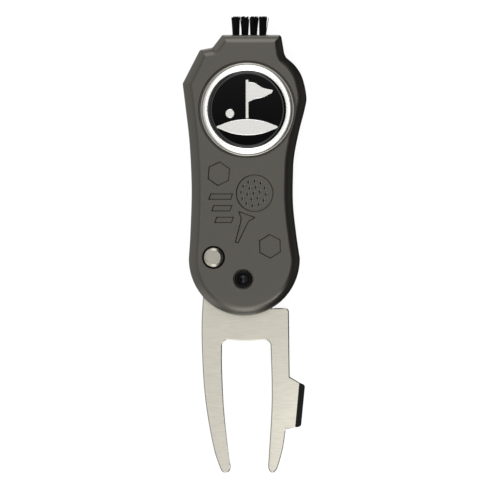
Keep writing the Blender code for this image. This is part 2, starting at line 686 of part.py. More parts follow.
def make_button(finishes, parent):
    """The push button, the plunger that locks the blade and the return spring."""
    radius, flange = BUTTON_RADIUS, FLANGE_RADIUS
    flange_low = FLANGE_TOP - BUTTON_FLANGE_HEIGHT
    bore = PLUNGER_NECK + FIT
    bore_top = BUTTON_TOP - BUTTON_ROOF
    profile = [(0, bore_top), (bore, bore_top), (bore, flange_low), (flange, flange_low)]
    profile += [(flange, FLANGE_TOP), (radius, FLANGE_TOP), (radius, BUTTON_TOP - BUTTON_EDGE)]
    profile += [(radius - BUTTON_EDGE, BUTTON_TOP), (0, BUTTON_TOP)]
    button = turned(profile, BUTTON_X, BUTTON_Y)
    finish(button, "release_button", finishes["satin_nickel"], parent)
    neck_high = bore_top - FIT
    collar = [(0, COLLAR_LOW), (PLUNGER_COLLAR, COLLAR_LOW), (PLUNGER_COLLAR, COLLAR_HIGH)]
    neck = [(PLUNGER_NECK, COLLAR_HIGH), (PLUNGER_NECK, neck_high), (0, neck_high)]
    plunger = turned(collar + neck, BUTTON_X, BUTTON_Y)
    finish(plunger, "lock_plunger", finishes["steel"], parent)
    low = RETURN_SPRING_FLOOR + RETURN_SPRING_WIRE + LIE
    high = COLLAR_LOW - RETURN_SPRING_WIRE - LIE
    path = helix((BUTTON_X, BUTTON_Y), low, high, RETURN_SPRING_RADIUS, RETURN_SPRING_TURNS)
    wire("button_spring", finishes["spring_steel"], path, RETURN_SPRING_WIRE)


def make_marker(finishes, parent):
    """The ball marker: a plated steel coin, an enamel disc in it and a raised golf emblem."""
    radius, edge, lip = MARKER_RADIUS, MARKER_EDGE, MARKER_LIP
    low, top = MARKER_LOW, MARKER_TOP
    inner = radius - MARKER_RIM
    floor = top - ENAMEL_DEPTH
    profile = [(0, low), (radius - edge, low), (radius, low + edge), (radius, top - edge)]
    profile += [(radius - edge * 0.3, top - edge * 0.3), (radius - edge, top)]
    profile += [(inner + lip, top), (inner, top - lip), (inner, floor), (0, floor)]
    coin = turned(profile, MARKER_X, MARKER_Y, MARKER_STEPS)
    finish(coin, "marker_coin", finishes["polished_nickel"], parent)
    low = floor + ENAMEL_BED
    high = low + ENAMEL_THICKNESS
    enamel = drill(inner - ENAMEL_GAP, low, high, MARKER_X, MARKER_Y, MARKER_STEPS)
    finish(enamel, "marker_enamel", finishes["black_enamel"], parent)
    low = high + ENAMEL_BED
    emblem = prism(emblem_outline(), low, low + EMBLEM_HEIGHT)
    bmesh.ops.translate(emblem, vec=(MARKER_X, MARKER_Y, 0), verts=emblem.verts)
    finish(emblem, "marker_emblem", finishes["polished_nickel"], parent)


def emblem_outline():
    """A flag on a pole that stands on a lens-shaped putting green."""
    half = EMBLEM_HALF_WIDTH
    left = smooth([(-half, -4.5), (-half / 2, -3.1), (-0.45, -2.6)], 4)
    right = smooth([(0.4, -2.6), (half / 2, -3.1), (half, -4.5)], 4)
    under = smooth([(half, -4.9), (half / 2, -6.4), (0, -6.9), (-half / 2, -6.4), (-half, -4.9)], 3)
    flag = smooth([(0.4, 7.3), (2.2, 7.0), (4.4, 5.7), (7.0, 5.1)], 3)
    flag += smooth([(6.6, 4.3), (4.2, 3.2), (2.0, 2.7), (0.4, 1.9)], 3)
    outline = left + [(-0.45, 7.9), (0.4, 7.9)] + flag + right + under
    return outline[::-1]


def make_magnet(finishes):
    """The magnet that holds the marker and its steel keeper."""
    low = MAGNET_FLOOR + LIE
    high = low + KEEPER_THICKNESS
    keeper = drill(MAGNET_RADIUS, low, high, MARKER_X, MARKER_Y)
    finish(keeper, "magnet_keeper", finishes["steel"])
    magnet = drill(MAGNET_RADIUS, high + LIE, high + LIE + MAGNET_THICKNESS, MARKER_X, MARKER_Y)
    finish(magnet, "marker_magnet", finishes["satin_nickel"])


def make_brush(finishes):
    """The brush base, caught between the shells, and its tufts."""
    base = finish(brush_base_block(0), "brush_base", finishes["black_nylon"])
    foot = BRUSH_END - BRUSH_BASE_SHY - TUFT_SUNK
    length = TUFT_SUNK + BRUSH_BASE_SHY + TUFT_SHOWN
    for number, (x, z) in enumerate(TUFTS, 1):
        place = Matrix.Translation((x, foot, z)) @ Matrix.Rotation(-math.pi / 2, 4, "X")
        hole = drill(TUFT_RADIUS + LIE, -LIE, length, steps=12)
        bmesh.ops.transform(hole, matrix=place, verts=hole.verts)
        cut(base, hole, f"tuft_hole_{number}")
        tuft = drill(TUFT_RADIUS, 0, length, steps=12)
        bmesh.ops.transform(tuft, matrix=place, verts=tuft.verts)
        finish(tuft, f"brush_tuft_{number}", finishes["black_nylon"])


def make_fasteners(finishes):
    """Two screws from behind, their brass inserts in the front shell and two locating dowels."""
    for number, (x, y) in enumerate(SHELL_SCREWS, 1):
        make_shell_screw(number, x, y, finishes)
        inner = SHELL_SCREW_SHANK + SHELL_SCREW_GAP
        low = FRONT_LOW + FIT
        high = low + INSERT_LENGTH
        ring = [(inner, low), (INSERT_RADIUS, low), (INSERT_RADIUS, high), (inner, high)]
        finish(turned(ring, x, y, SMALL_STEPS), f"threaded_insert_{number}", finishes["brass"])
    for number, (x, y) in enumerate(DOWELS, 1):
        low = MIDDLE - DOWEL_LENGTH / 2
        pin = drill(DOWEL_RADIUS, low, low + DOWEL_LENGTH, x, y, SMALL_STEPS)
        finish(pin, f"locating_dowel_{number}", finishes["steel"])


def make_shell_screw(number, x, y, finishes):
    """One of the screws that close the handle, put in from behind."""
    radius, edge = SHELL_SCREW_HEAD, SHELL_SCREW_EDGE
    low = SHELL_SCREW_SUNK
    under = low + SHELL_SCREW_HEAD_HEIGHT
    end = FRONT_LOW + INSERT_LENGTH - 2 * FIT
    profile = [(0, low), (radius - edge, low), (radius, low + edge), (radius, under)]
    profile += [(SHELL_SCREW_SHANK, under), (SHELL_SCREW_SHANK, end), (0, end)]
    screw = finish(turned(profile, x, y), f"shell_screw_{number}", finishes["black_oxide"])
    socket = drill(SHELL_SOCKET_RADIUS, low - 1, low + SHELL_SOCKET_DEPTH, x, y, 6)
    cut(screw, socket, "hex_socket")


def main():
    for item in list(bpy.context.scene.objects):
        bpy.data.objects.remove(item)
    finishes = {
        "soft_paint": material("soft_touch_grey_paint", (0.095, 0.095, 0.085), 0.55, 0.0),
        "brushed_steel": material("brushed_stainless_steel", (0.57, 0.55, 0.50), 0.32, 1.0),
        "black_oxide": material("black_oxide_steel", (0.012, 0.012, 0.012), 0.4, 0.6),
        "steel": material("plain_steel", (0.45, 0.45, 0.45), 0.35, 1.0),
        "spring_steel": material("spring_steel", (0.35, 0.35, 0.36), 0.3, 1.0),
        "satin_nickel": material("satin_nickel_plate", (0.42, 0.40, 0.35), 0.35, 1.0),
        "polished_nickel": material("polished_nickel_plate", (0.85, 0.85, 0.83), 0.12, 1.0),
        "black_enamel": material("black_enamel", (0.003, 0.003, 0.004), 0.15, 0.0),
        "nylon": material("natural_nylon", (0.75, 0.74, 0.70), 0.5, 0.0),
        "black_nylon": material("black_nylon", (0.007, 0.007, 0.008), 0.5, 0.0),
        "brass": material("brass", (0.62, 0.45, 0.18), 0.3, 1.0),
    }
    blade_axis = joint_empty("blade_fold_axis", 0, 0, MIDDLE)
    button_axis = joint_empty("button_press_axis", BUTTON_X, BUTTON_Y, HANDLE_TOP)
    marker_axis = joint_empty("marker_lift_axis", MARKER_X, MARKER_Y, MARKER_LOW)
    make_front_shell(finishes)
    make_rear_shell(finishes)
    make_blade(finishes, blade_axis)
    make_pivot(finishes)
    make_button(finishes, button_axis)
    make_marker(finishes, marker_axis)
    make_magnet(finishes)
    make_brush(finishes)
    make_fasteners(finishes)


main()
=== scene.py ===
"""Finish of a folding divot repair tool: painted handle, brushed fork, plated marker and bristles."""

import math
import random

import bmesh
import bpy
import numpy as np
from mathutils import Matrix, Vector


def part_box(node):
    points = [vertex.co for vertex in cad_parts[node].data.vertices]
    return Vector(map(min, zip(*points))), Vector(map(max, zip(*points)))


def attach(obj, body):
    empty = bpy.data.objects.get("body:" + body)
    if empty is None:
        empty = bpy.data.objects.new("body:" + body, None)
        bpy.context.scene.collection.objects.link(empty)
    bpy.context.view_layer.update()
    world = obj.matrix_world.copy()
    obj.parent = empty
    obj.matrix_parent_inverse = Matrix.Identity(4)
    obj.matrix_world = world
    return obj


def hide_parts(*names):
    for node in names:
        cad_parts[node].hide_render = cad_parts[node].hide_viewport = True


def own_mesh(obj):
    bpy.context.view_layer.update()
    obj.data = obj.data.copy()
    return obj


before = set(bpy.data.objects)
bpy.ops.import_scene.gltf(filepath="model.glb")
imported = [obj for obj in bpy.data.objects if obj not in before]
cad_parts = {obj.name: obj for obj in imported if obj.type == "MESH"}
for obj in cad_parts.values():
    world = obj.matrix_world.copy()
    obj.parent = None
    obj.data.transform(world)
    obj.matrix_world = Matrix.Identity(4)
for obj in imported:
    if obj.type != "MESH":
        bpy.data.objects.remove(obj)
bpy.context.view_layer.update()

bl_info = {
    "name": "Divot Repair Tool",
    "version": (1, 0, 0),
    "blender": (4, 5, 0),
    "location": "View3D > Sidebar > Divot Tool",
    "description": "Builds the finished pieces of a folding divot repair tool on its frame",
    "category": "Add Mesh",
}

MM = 0.001
WHOLE_TURN = 2 * math.pi


# Places read from the frame, in millimetres


def corners(node):
    """Lowest and highest corner of a node of the frame."""
    low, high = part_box(node)
    return low / MM, high / MM


def middle(node):
    """Centre of a node of the frame."""
    low, high = corners(node)
    return (low + high) / 2


FRONT_LOW = corners("front_shell")[0].z
HANDLE_TOP = corners("front_shell")[1].z
BRUSH_END = corners("front_shell")[1].y
HANDLE_LOW_END = corners("front_shell")[0].y
REAR_TOP = corners("rear_shell")[1].z
FORK_LOW, FORK_HIGH = corners("fork_blade")
FORK_REACH = -FORK_LOW.y
TAB_RIGHT = FORK_HIGH.x
FORK_LEFT = -FORK_LOW.x
COIN_LOW, COIN_HIGH = corners("marker_coin")
COIN = middle("marker_coin")
COIN_RADIUS = (COIN_HIGH.x - COIN_LOW.x) / 2
BUTTON_LOW, BUTTON_HIGH = corners("release_button")
BUTTON = middle("release_button")
FLANGE_RADIUS = (BUTTON_HIGH.x - BUTTON_LOW.x) / 2
COLLAR_RADIUS = (corners("lock_plunger")[1].x - corners("lock_plunger")[0].x) / 2
SCREW_LOW, SCREW_HIGH = corners("pivot_screw")
SCREW_RADIUS = (SCREW_HIGH.x - SCREW_LOW.x) / 2
TUFTS = sorted(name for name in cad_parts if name.startswith("brush_tuft"))
TUFT_RADIUS = (corners(TUFTS[0])[1].x - corners(TUFTS[0])[0].x) / 2
BRUSH_LOW, BRUSH_HIGH = corners("brush_base")
BRUSH_X = middle("brush_base").x
BRUSH_HALF = max(corners(name)[1].x for name in TUFTS) - BRUSH_X
SHELL_SCREWS = sorted(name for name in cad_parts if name.startswith("shell_screw"))
DOWELS = sorted(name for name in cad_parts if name.startswith("locating_dowel"))

# Clearances and details that the frame's boxes don't show, in millimetres
FIT = 0.2
BORE_GAP = 0.25
BLADE_GAP = 0.25
SWEEP_GAP = 0.45
TIP_GAP = 1.1
HEAD_GAP = 0.35  # between the round head of the fork and the plunger's collar
COLLAR_ROOM = 0.3  # round the plunger's collar in the slot
LEVEL = 0.99  # a face whose normal leans less than this from upright counts as level
BUTTON_CAP_RADIUS = FLANGE_RADIUS - 1.0
BUTTON_GAP = 0.45
MARKER_GAP = 0.47
END_X = 0.25
END_Y = 5.5
END_HALF_WIDTH = 14.85
END_HALF_HEIGHT = END_Y - HANDLE_LOW_END
WAIST_RIGHT = 13.28
WAIST_LEFT = 13.83
WAIST_Y = 24.0
CROTCH = 16.3
CROTCH_ROUND = 1.6
TANG_LEFT = 10.83
SHOULDER_RIGHT = 12.4
SHOULDER_DROP = 7.8
SHOULDER_ROUND = 1.0
SHOULDER_INSET = 0.2
TAB_START = 28.0
TAB_LENGTH = 11.4
TAB_LEAN = 1.05
TAB_GROUND = 1.55
TAB_EDGE = 0.5
WEDGE_BEYOND = 2.0  # the wedge that grinds the tab reaches this far beyond it
FORK_EDGE = 0.26
PIVOT_HOLE = 2.8
HEAD_RADIUS = math.hypot(BUTTON.x, BUTTON.y) - COLLAR_RADIUS - HEAD_GAP
SLOT_RIGHT = 17.2  # where the sweep of the tips leaves the handle
SLOT_TIPS = 9.8  # half width of the slot over the folded tips
SLOT_TAPER = 6.0  # beyond the tab, where the slot begins to narrow
SLOT_IN_AT_TAPER = 1.05  # slot narrower there than at the shoulder
SLOT_IN_AT_WINDOW = 0.85  # slot narrower at the far end of the window
WINDOW_FAR = 1.6  # window beyond the far end of the folded tab
WINDOW_NEAR = 2.3  # window before the near end of the folded tab
SCREW_HEAD_HEIGHT = 1.4
SCREW_HEAD_GAP = 0.23
SCREW_SHANK = 1.25
SCREW_WEB = 0.6  # front shell left under the screw's head
SCREW_CROWN = 0.35  # rounding of the head
SOCKET_RADIUS = 1.2
SOCKET_DEPTH = 1.0
COUNTERSINK = 0.3  # depth of the cone round the socket
SPRING_POCKET = 4.3
WASHER_SEAT = 6.8
WASHER_SEAT_DEPTH = 0.35
BUTTON_CAP = 2.25  # cap above its flange
BUTTON_ROOF = 1.2  # cap left above the plunger's bore
RETURN_SPRING_POCKET = 3.1
RETURN_SPRING_WIRE = 0.14
RETURN_SPRING_TURNS = 3.5
MAGNET_POCKET = 4.2
MAGNET_POCKET_DEPTH = 2.1
BRUSH_FLANGE = 1.2
BRUSH_FLANGE_DEPTH = 3.0
SHELL_LIP = 0.1  # chamfer of both shells at the parting line
REAR_EDGE = 1.3
SHELL_SCREW_HEAD_HEIGHT = 1.1
SHELL_SCREW_BORE = 1.65
SHELL_SCREW_SHANK = 0.9
SHELL_SCREW_SHANK_BORE = 1.05
SHELL_SOCKET_RADIUS = 0.78
SHELL_SOCKET_DEPTH = 0.7

# Strength of the studio light against its direction along each axis, from -1 to 1
LIGHT_SCALE = 4.0
SIDE_LIGHT = (
    (-1, 0.66), (-0.75, 0.62), (-0.55, 0.54), (-0.36, 0.26), (-0.16, 1.1), (0, 1.18),
    (0.14, 1.3), (0.26, 0.55), (0.4, 0.06), (0.7, 0.0), (1, 0.12),
)
END_LIGHT = (
    (-1, 0.4), (-0.8, 1.8), (-0.6, 1.5), (-0.4, 0.85), (-0.2, 0.93), (0, 0.96),
    (0.3, 1.0), (0.5, 1.15), (0.8, 1.6), (1, 0.45),
)
TOP_LIGHT = ((-1, 1.0), (0.0, 1.8), (0.987, 1.85), (0.9965, 0.04), (1, 0.0))


def linear(code):
    """An sRGB hex colour as linear red, green and blue."""
    parts = [int(code[i : i + 2], 16) / 255 for i in (1, 3, 5)]
    return tuple(c / 12.92 if c <= 0.04045 else ((c + 0.055) / 1.055) ** 2.4 for c in parts)


class HandleSettings(bpy.types.PropertyGroup):
    """Finish and edges of the handle."""

    paint: bpy.props.FloatVectorProperty(
        name="Paint",
        description="Soft-touch paint of the handle",
        subtype="COLOR",
        default=linear("#4D4B46"),
    )
    edge_width: bpy.props.FloatProperty(
        name="Edge width",
        description="Width of the rounded front edge, in millimetres",
        default=2.6,
        min=0.5,
    )
    edge_drop: bpy.props.FloatProperty(
        name="Edge drop",
        description="Depth of the rounded front edge, in millimetres",
        default=2.3,
        min=0.5,
    )
    engraving: bpy.props.FloatProperty(
        name="Engraving",
        description="Depth of the sunk motifs, in millimetres",
        default=0.5,
        min=0.05,
    )


class MetalSettings(bpy.types.PropertyGroup):
    """Finish of the fork, the button and the marker."""

    steel: bpy.props.FloatVectorProperty(
        name="Steel",
        description="Brushed stainless steel of the fork",
        subtype="COLOR",
        default=linear("#ADAA9F"),
    )
    nickel: bpy.props.FloatVectorProperty(
        name="Nickel",
        description="Polished nickel plate of the marker",
        subtype="COLOR",
        default=linear("#EAE9E5"),
    )
    button: bpy.props.FloatVectorProperty(
        name="Button",
        description="Satin nickel of the push button",
        subtype="COLOR",
        default=linear("#928F85"),
    )
    enamel: bpy.props.FloatVectorProperty(
        name="Enamel",
        description="Enamel of the marker",
        subtype="COLOR",
        default=linear("#020203"),
    )


class BrushSettings(bpy.types.PropertyGroup):
    """Bristles of the brush."""

    count: bpy.props.IntProperty(
        name="Bristles",
        description="Number of bristles in each tuft",
        default=52,
        min=1,
    )
    thickness: bpy.props.FloatProperty(
        name="Thickness",
        description="Diameter of a bristle, in millimetres",
        default=0.2,
        min=0.05,
    )
    seed: bpy.props.IntProperty(
        name="Seed", description="Start of the random lean of the bristles", default=7
    )


# Outlines, as lists of (x, y) in millimetres, anticlockwise


def arc(centre, radius, start, end, steps):
    """Points on an arc between two angles in degrees, with both ends."""
    angles = [math.radians(start + (end - start) * i / steps) for i in range(steps + 1)]
    return [(centre[0] + radius * math.cos(a), centre[1] + radius * math.sin(a)) for a in angles]


def smooth(points, steps):
    """Points on a smooth curve through the given ones, with both ends."""
    knots = [Vector(p) for p in points]
    knots = [2 * knots[0] - knots[1]] + knots + [2 * knots[-1] - knots[-2]]
    found = []
    for before, start, end, after in zip(knots, knots[1:], knots[2:], knots[3:]):
        for i in range(steps):
            t = i / steps
            pull = start * 2 + (end - before) * t
            pull += (before * 2 - start * 5 + end * 4 - after) * t**2
            pull += (start * 3 - before - end * 3 + after) * t**3
            found.append(tuple(pull / 2))
    return found + [tuple(knots[-2])]


def rounded(points, radii, steps=6):
    """The outline with an arc at each corner whose number has a radius."""
    found = []
    for i, point in enumerate(points):
        radius = radii.get(i, 0)
        if not radius:
            found.append(point)
            continue
        corner = Vector(point)
        back = (Vector(points[i - 1]) - corner).normalized()
        on = (Vector(points[(i + 1) % len(points)]) - corner).normalized()
        half = back.angle(on) / 2
        centre = corner + (back + on).normalized() * radius / math.sin(half)
        first = corner + back * radius / math.tan(half) - centre
        last = corner + on * radius / math.tan(half) - centre
        start = math.atan2(first.y, first.x)
        sweep = math.remainder(math.atan2(last.y, last.x) - start, WHOLE_TURN)
        found += arc(centre, radius, math.degrees(start), math.degrees(start + sweep), steps)
    return found


def around_marker(angle, wall):
    """A point the given distance beyond the marker's rim."""
    return arc((COIN.x, COIN.y), COIN_RADIUS + wall, angle, angle, 1)[0]


def handle_outline():
    """The handle: a round end at the pivot, a waist, a bulge round the marker and a stepped brush end."""
    lower_end = [
        (END_X + END_HALF_WIDTH * x, END_Y + END_HALF_HEIGHT * y)
        for x, y in arc((0, 0), 1, 180, 360, 96)
    ]
    right_side = smooth(
        [
            lower_end[-1],
            (WAIST_RIGHT + 0.85, WAIST_Y - 12),
            (WAIST_RIGHT, WAIST_Y - 4),
            (WAIST_RIGHT, WAIST_Y + 4),
            around_marker(-44.2, 5.02),
            around_marker(-22.9, 2.5),
            around_marker(2, 2.96),
            around_marker(13.4, 3.72),
            around_marker(30.5, 4.53),
            around_marker(42.6, 4.87),
            around_marker(53.5, 4.9),
        ],
        8,
    )
    brush_end = [
        (BRUSH_X + BRUSH_HALF + 4.85, BRUSH_END - 5.0),
        (BRUSH_X + BRUSH_HALF + 4.0, BRUSH_END),
        (BRUSH_X - BRUSH_HALF - 2.75, BRUSH_END),
        (BRUSH_X - BRUSH_HALF - 5.35, BRUSH_END - 3.4),
        (BRUSH_X - BRUSH_HALF - 8.75, BRUSH_END - 4.0),
    ]
    left_side = smooth(
        [
            around_marker(158.1, 6.14),
            around_marker(178.1, 4.01),
            around_marker(210.3, 5.37),
            (-WAIST_LEFT, WAIST_Y),
            (-WAIST_LEFT - 0.35, WAIST_Y - 12),
            lower_end[0],
        ],
        12,
    )
    outline = lower_end + right_side[1:] + brush_end + left_side[:-1]
    first = len(lower_end) + len(right_side) - 1
    corner_radii = (0.5, 0.9, 0.9, 0.8, 0.9, 1.1, 0.7)
    radii = {first + number: radius for number, radius in enumerate(corner_radii, -1)}
    return rounded(outline, radii)


def dense(outline, spacing):
    """The outline with points added so that none are further apart than the spacing."""
    found = []
    for start, end in zip(outline, outline[1:] + outline[:1]):
        steps = max(1, math.ceil(math.dist(start, end) / spacing))
        found += [tuple(Vector(start).lerp(Vector(end), i / steps)) for i in range(steps)]
    return found


def crossing(start, forward, end, backward):
    """Where the line on from the start meets the line back from the end, or halfway if they hardly turn."""
    turn = forward[0] * backward[1] - forward[1] * backward[0]
    gap = end - start
    middle_point = (start + end) / 2
    if abs(turn) < 0.05:
        return middle_point
    share = (gap[0] * backward[1] - gap[1] * backward[0]) / turn
    found = start + forward * share
    near = np.linalg.norm(found - middle_point) < 2 * np.linalg.norm(gap) + 0.05
    return found if near else middle_point


def inset(outline, width, taper=0.0):
    """The outline moved inwards, with the points that would cross in a tight corner gathered in its mitre.

    The taper is the share of the width that is lost towards the brush end.
    """
    points = np.array(outline, float)
    if not width:
        return points
    near_brush = np.clip((points[:, 1] - BRUSH_END + 9) / 6, 0, 1)
    distance = width * (1 - taper * near_brush * near_brush * (3 - 2 * near_brush))
    ahead = np.roll(points, -1, 0) - points
    ahead /= np.linalg.norm(ahead, axis=1)[:, None]
    tangent = ahead + np.roll(ahead, 1, 0)
    tangent /= np.linalg.norm(tangent, axis=1)[:, None]
    inward = np.stack([-tangent[:, 1], tangent[:, 0]], 1)
    moved = points + inward * distance[:, None]
    sides = np.roll(points, -1, 0) - points
    offset = moved[:, None] - points[None]
    share = (offset * sides).sum(2) / (sides * sides).sum(1)
    nearest = points[None] + np.clip(share, 0, 1)[:, :, None] * sides
    gaps = np.linalg.norm(moved[:, None] - nearest, axis=2).min(1)
    kept = np.flatnonzero(gaps > distance * 0.975)
    for start, end in zip(kept, np.roll(kept, -1)):
        between = (end - start) % len(points)
        if between < 2:
            continue
        meeting = crossing(moved[start], tangent[start], moved[end], -tangent[end])
        for step in range(1, between):
            moved[(start + step) % len(points)] = meeting
    return moved


def prong(share):
    """The height of a point at a share of the way from the crotch to the tips."""
    return -(CROTCH + (FORK_REACH - CROTCH) * share)


def fork_outline():
    """The fork: a round head on the pivot, a shoulder, two curved prongs and the groove cleaner's tab."""
    tab_end = TAB_START + TAB_LENGTH
    crotch_level = -CROTCH - CROTCH_ROUND
    left_prong = smooth(
        [
            (-TANG_LEFT, 0),
            (-TANG_LEFT, -4.8),
            (-FORK_LEFT, -10.5),
            (-FORK_LEFT, prong(0.03)),
            (-FORK_LEFT + 0.54, prong(0.335)),
            (-FORK_LEFT + 1.6, prong(0.58)),
            (-FORK_LEFT + 3.25, prong(0.82)),
            (-FORK_LEFT + 4.75, prong(0.95)),
            (-FORK_LEFT + 5.5, prong(0.99)),
            (-FORK_LEFT + 6.45, prong(1.0)),
            (-FORK_LEFT + 7.4, prong(0.985)),
            (-FORK_LEFT + 7.75, prong(0.95)),
            (-FORK_LEFT + 7.3, prong(0.88)),
            (-FORK_LEFT + 5.95, prong(0.52)),
            (-FORK_LEFT + 5.42, prong(0.2)),
            (-FORK_LEFT + 5.42, crotch_level),
        ],
        8,
    )
    crotch = arc((-FORK_LEFT + 5.42 + CROTCH_ROUND, crotch_level), CROTCH_ROUND, 180, 90, 8)[1:]
    crotch += smooth(
        [
            crotch[-1],
            ((-FORK_LEFT + SHOULDER_RIGHT) / 2, -CROTCH - 0.3),
            (SHOULDER_RIGHT - 5.1 - CROTCH_ROUND, -CROTCH),
        ],
        6,
    )[1:-1]
    crotch += arc((SHOULDER_RIGHT - 5.1 - CROTCH_ROUND, crotch_level), CROTCH_ROUND, 90, 0, 8)[:-1]
    right_prong = smooth(
        [
            (SHOULDER_RIGHT - 5.1, crotch_level),
            (SHOULDER_RIGHT - 4.8, prong(0.33)),
            (SHOULDER_RIGHT - 4.9, prong(0.55)),
            (SHOULDER_RIGHT - 5.6, prong(0.88)),
            (SHOULDER_RIGHT - 5.75, prong(0.95)),
            (SHOULDER_RIGHT - 5.4, prong(0.985)),
            (SHOULDER_RIGHT - 4.6, prong(1.0)),
            (SHOULDER_RIGHT - 3.8, prong(0.985)),
            (SHOULDER_RIGHT - 3.15, prong(0.95)),
            (SHOULDER_RIGHT - 1.84, prong(0.82)),
            (SHOULDER_RIGHT - 1.05, -tab_end - 0.85),
        ],
        8,
    )
    tab = [(SHOULDER_RIGHT + 1.4, -tab_end - 0.4)]
    tab += arc((TAB_RIGHT - 1.75, -tab_end + 0.55), 0.8, 280, 355, 8)
    tab += arc((TAB_RIGHT - 0.9, -TAB_START - 1.0), 0.9, 0, 75, 8)
    tab += [(TAB_RIGHT - 1.6, -TAB_START + 0.3), (SHOULDER_RIGHT, -TAB_START + 1.8)]
    corner = (SHOULDER_RIGHT - SHOULDER_INSET - SHOULDER_ROUND, -SHOULDER_DROP - SHOULDER_ROUND)
    shoulder = arc(corner, SHOULDER_ROUND, 0, 90, 8)
    head = [(HEAD_RADIUS / 2, -SHOULDER_DROP)] + arc((0, 0), HEAD_RADIUS, -58, 150, 60)
    tang = arc((0, 0), TANG_LEFT, 158, 180, 8)[:-1]
    return left_prong + crotch + right_prong + tab + shoulder + head + tang


def slot_outline():
    """All that the fork passes over as it turns, open to the right and below, with the tab's window."""
    beyond = 30.0
    side = SHOULDER_RIGHT + SWEEP_GAP
    tang = TANG_LEFT + SWEEP_GAP
    reach = FORK_REACH + TIP_GAP
    tab_end = TAB_START + TAB_LENGTH
    right_angle = math.degrees(math.acos(SLOT_RIGHT / reach))
    left_angle = 180 - math.degrees(math.acos(SLOT_TIPS / reach))
    tips = arc((0, 0), reach, right_angle, left_angle, 32)
    window_far = tab_end + WINDOW_FAR
    window_near = TAB_START - WINDOW_NEAR
    return (
        [(-tang, -beyond), (beyond, -beyond), (beyond, tips[0][1])]
        + tips
        + [(-side + SLOT_IN_AT_TAPER, tab_end + SLOT_TAPER), (-side + SLOT_IN_AT_WINDOW, window_far)]
        + [(-beyond, window_far), (-beyond, window_near)]
        + [(-side, window_near), (-side, SHOULDER_DROP - SWEEP_GAP)]
        + arc((BUTTON.x, BUTTON.y), COLLAR_RADIUS + COLLAR_ROOM, 135, 200, 8)
        + arc((0, 0), tang, 154, 180, 8)
    )


# Mesh tools. Every mesh is worked on in millimetres and stored in metres


def finished(bm, name, finish=None, sharp=30):
    """Turns a bmesh into an object in metres, smooth but for edges over the given angle."""
    bmesh.ops.scale(bm, vec=(MM, MM, MM), verts=bm.verts)
    mesh = bpy.data.meshes.new(name)
    bm.to_mesh(mesh)
    bm.free()
    piece = bpy.data.objects.new(name, mesh)
    bpy.context.scene.collection.objects.link(piece)
    if finish:
        mesh.materials.append(finish)
    shade(mesh, sharp)
    return piece


def shade(mesh, sharp):
    """Smooth shading, but for sharp edges and for the level faces, which stay flat."""
    mesh.shade_smooth()
    mesh.set_sharp_from_angle(angle=math.radians(sharp))
    for face in mesh.polygons:
        face.use_smooth = abs(face.normal.z) < 0.9999


def stacked(outline, levels, taper=0.0):
    """A solid whose outline is moved in by each inset at each height, from the lowest up."""
    bm = bmesh.new()
    rings = [
        [bm.verts.new((x, y, level)) for x, y in inset(outline, width, taper)]
        for width, level in levels
    ]
    for below, above in zip(rings, rings[1:]):
        for i in range(len(below)):
            bm.faces.new((below[i - 1], below[i], above[i], above[i - 1]))
    bm.faces.new(rings[0][::-1])
    bm.faces.new(rings[-1])
    bmesh.ops.remove_doubles(bm, verts=bm.verts, dist=2e-4)
    bmesh.ops.dissolve_degenerate(bm, dist=2e-4, edges=bm.edges)
    bmesh.ops.recalc_face_normals(bm, faces=bm.faces)
    return bm


def prism(outline, low, high):
    """An upright block with the given outline."""
    bm = bmesh.new()
    base = bm.faces.new([bm.verts.new((x, y, low)) for x, y in outline])
    grown = bmesh.ops.extrude_face_region(bm, geom=[base])["geom"]
    raised = [item for item in grown if isinstance(item, bmesh.types.BMVert)]
    bmesh.ops.translate(bm, vec=(0, 0, high - low), verts=raised)
    bmesh.ops.recalc_face_normals(bm, faces=bm.faces)
    return bm


def round_rim(bm, level, width, segments):
    """Bevels the edges of a block that lie at one level."""
    rim = [e for e in bm.edges if all(abs(v.co.z - level) < 1e-4 for v in e.verts)]
    bmesh.ops.bevel(
        bm, geom=rim, offset=width, segments=segments, profile=0.5, affect="EDGES", material=-1
    )


def turned(profile, centre=(0, 0), steps=96):
    """A solid of revolution about an upright axis, from (radius, height) points."""
    bm = bmesh.new()
    points = [bm.verts.new((radius, 0, z)) for radius, z in profile]
    edges = [bm.edges.new(pair) for pair in zip(points, points[1:])]
    if profile[0][0] > 0:
        edges.append(bm.edges.new((points[-1], points[0])))
    bmesh.ops.spin(
        bm,
        geom=points + edges,
        cent=(0, 0, 0),
        axis=(0, 0, 1),
        angle=WHOLE_TURN,
        steps=steps,
        use_merge=True,
        use_duplicate=False,
    )
    bmesh.ops.remove_doubles(bm, verts=bm.verts, dist=1e-4)
    bmesh.ops.recalc_face_normals(bm, faces=bm.faces)
    bmesh.ops.translate(bm, vec=(centre[0], centre[1], 0), verts=bm.verts)
    return bm


def drill(radius, low, high, centre=(0, 0), flare=0.0, steps=96):
    """A round cutter, which may open out at its upper end."""
    profile = [(0, low), (radius, low), (radius, high)]
    if flare:
        profile[-1] = (radius, HANDLE_TOP - flare)
        profile += [(radius + flare, HANDLE_TOP), (radius + flare, high)]
    return turned(profile + [(0, high)], centre, steps)


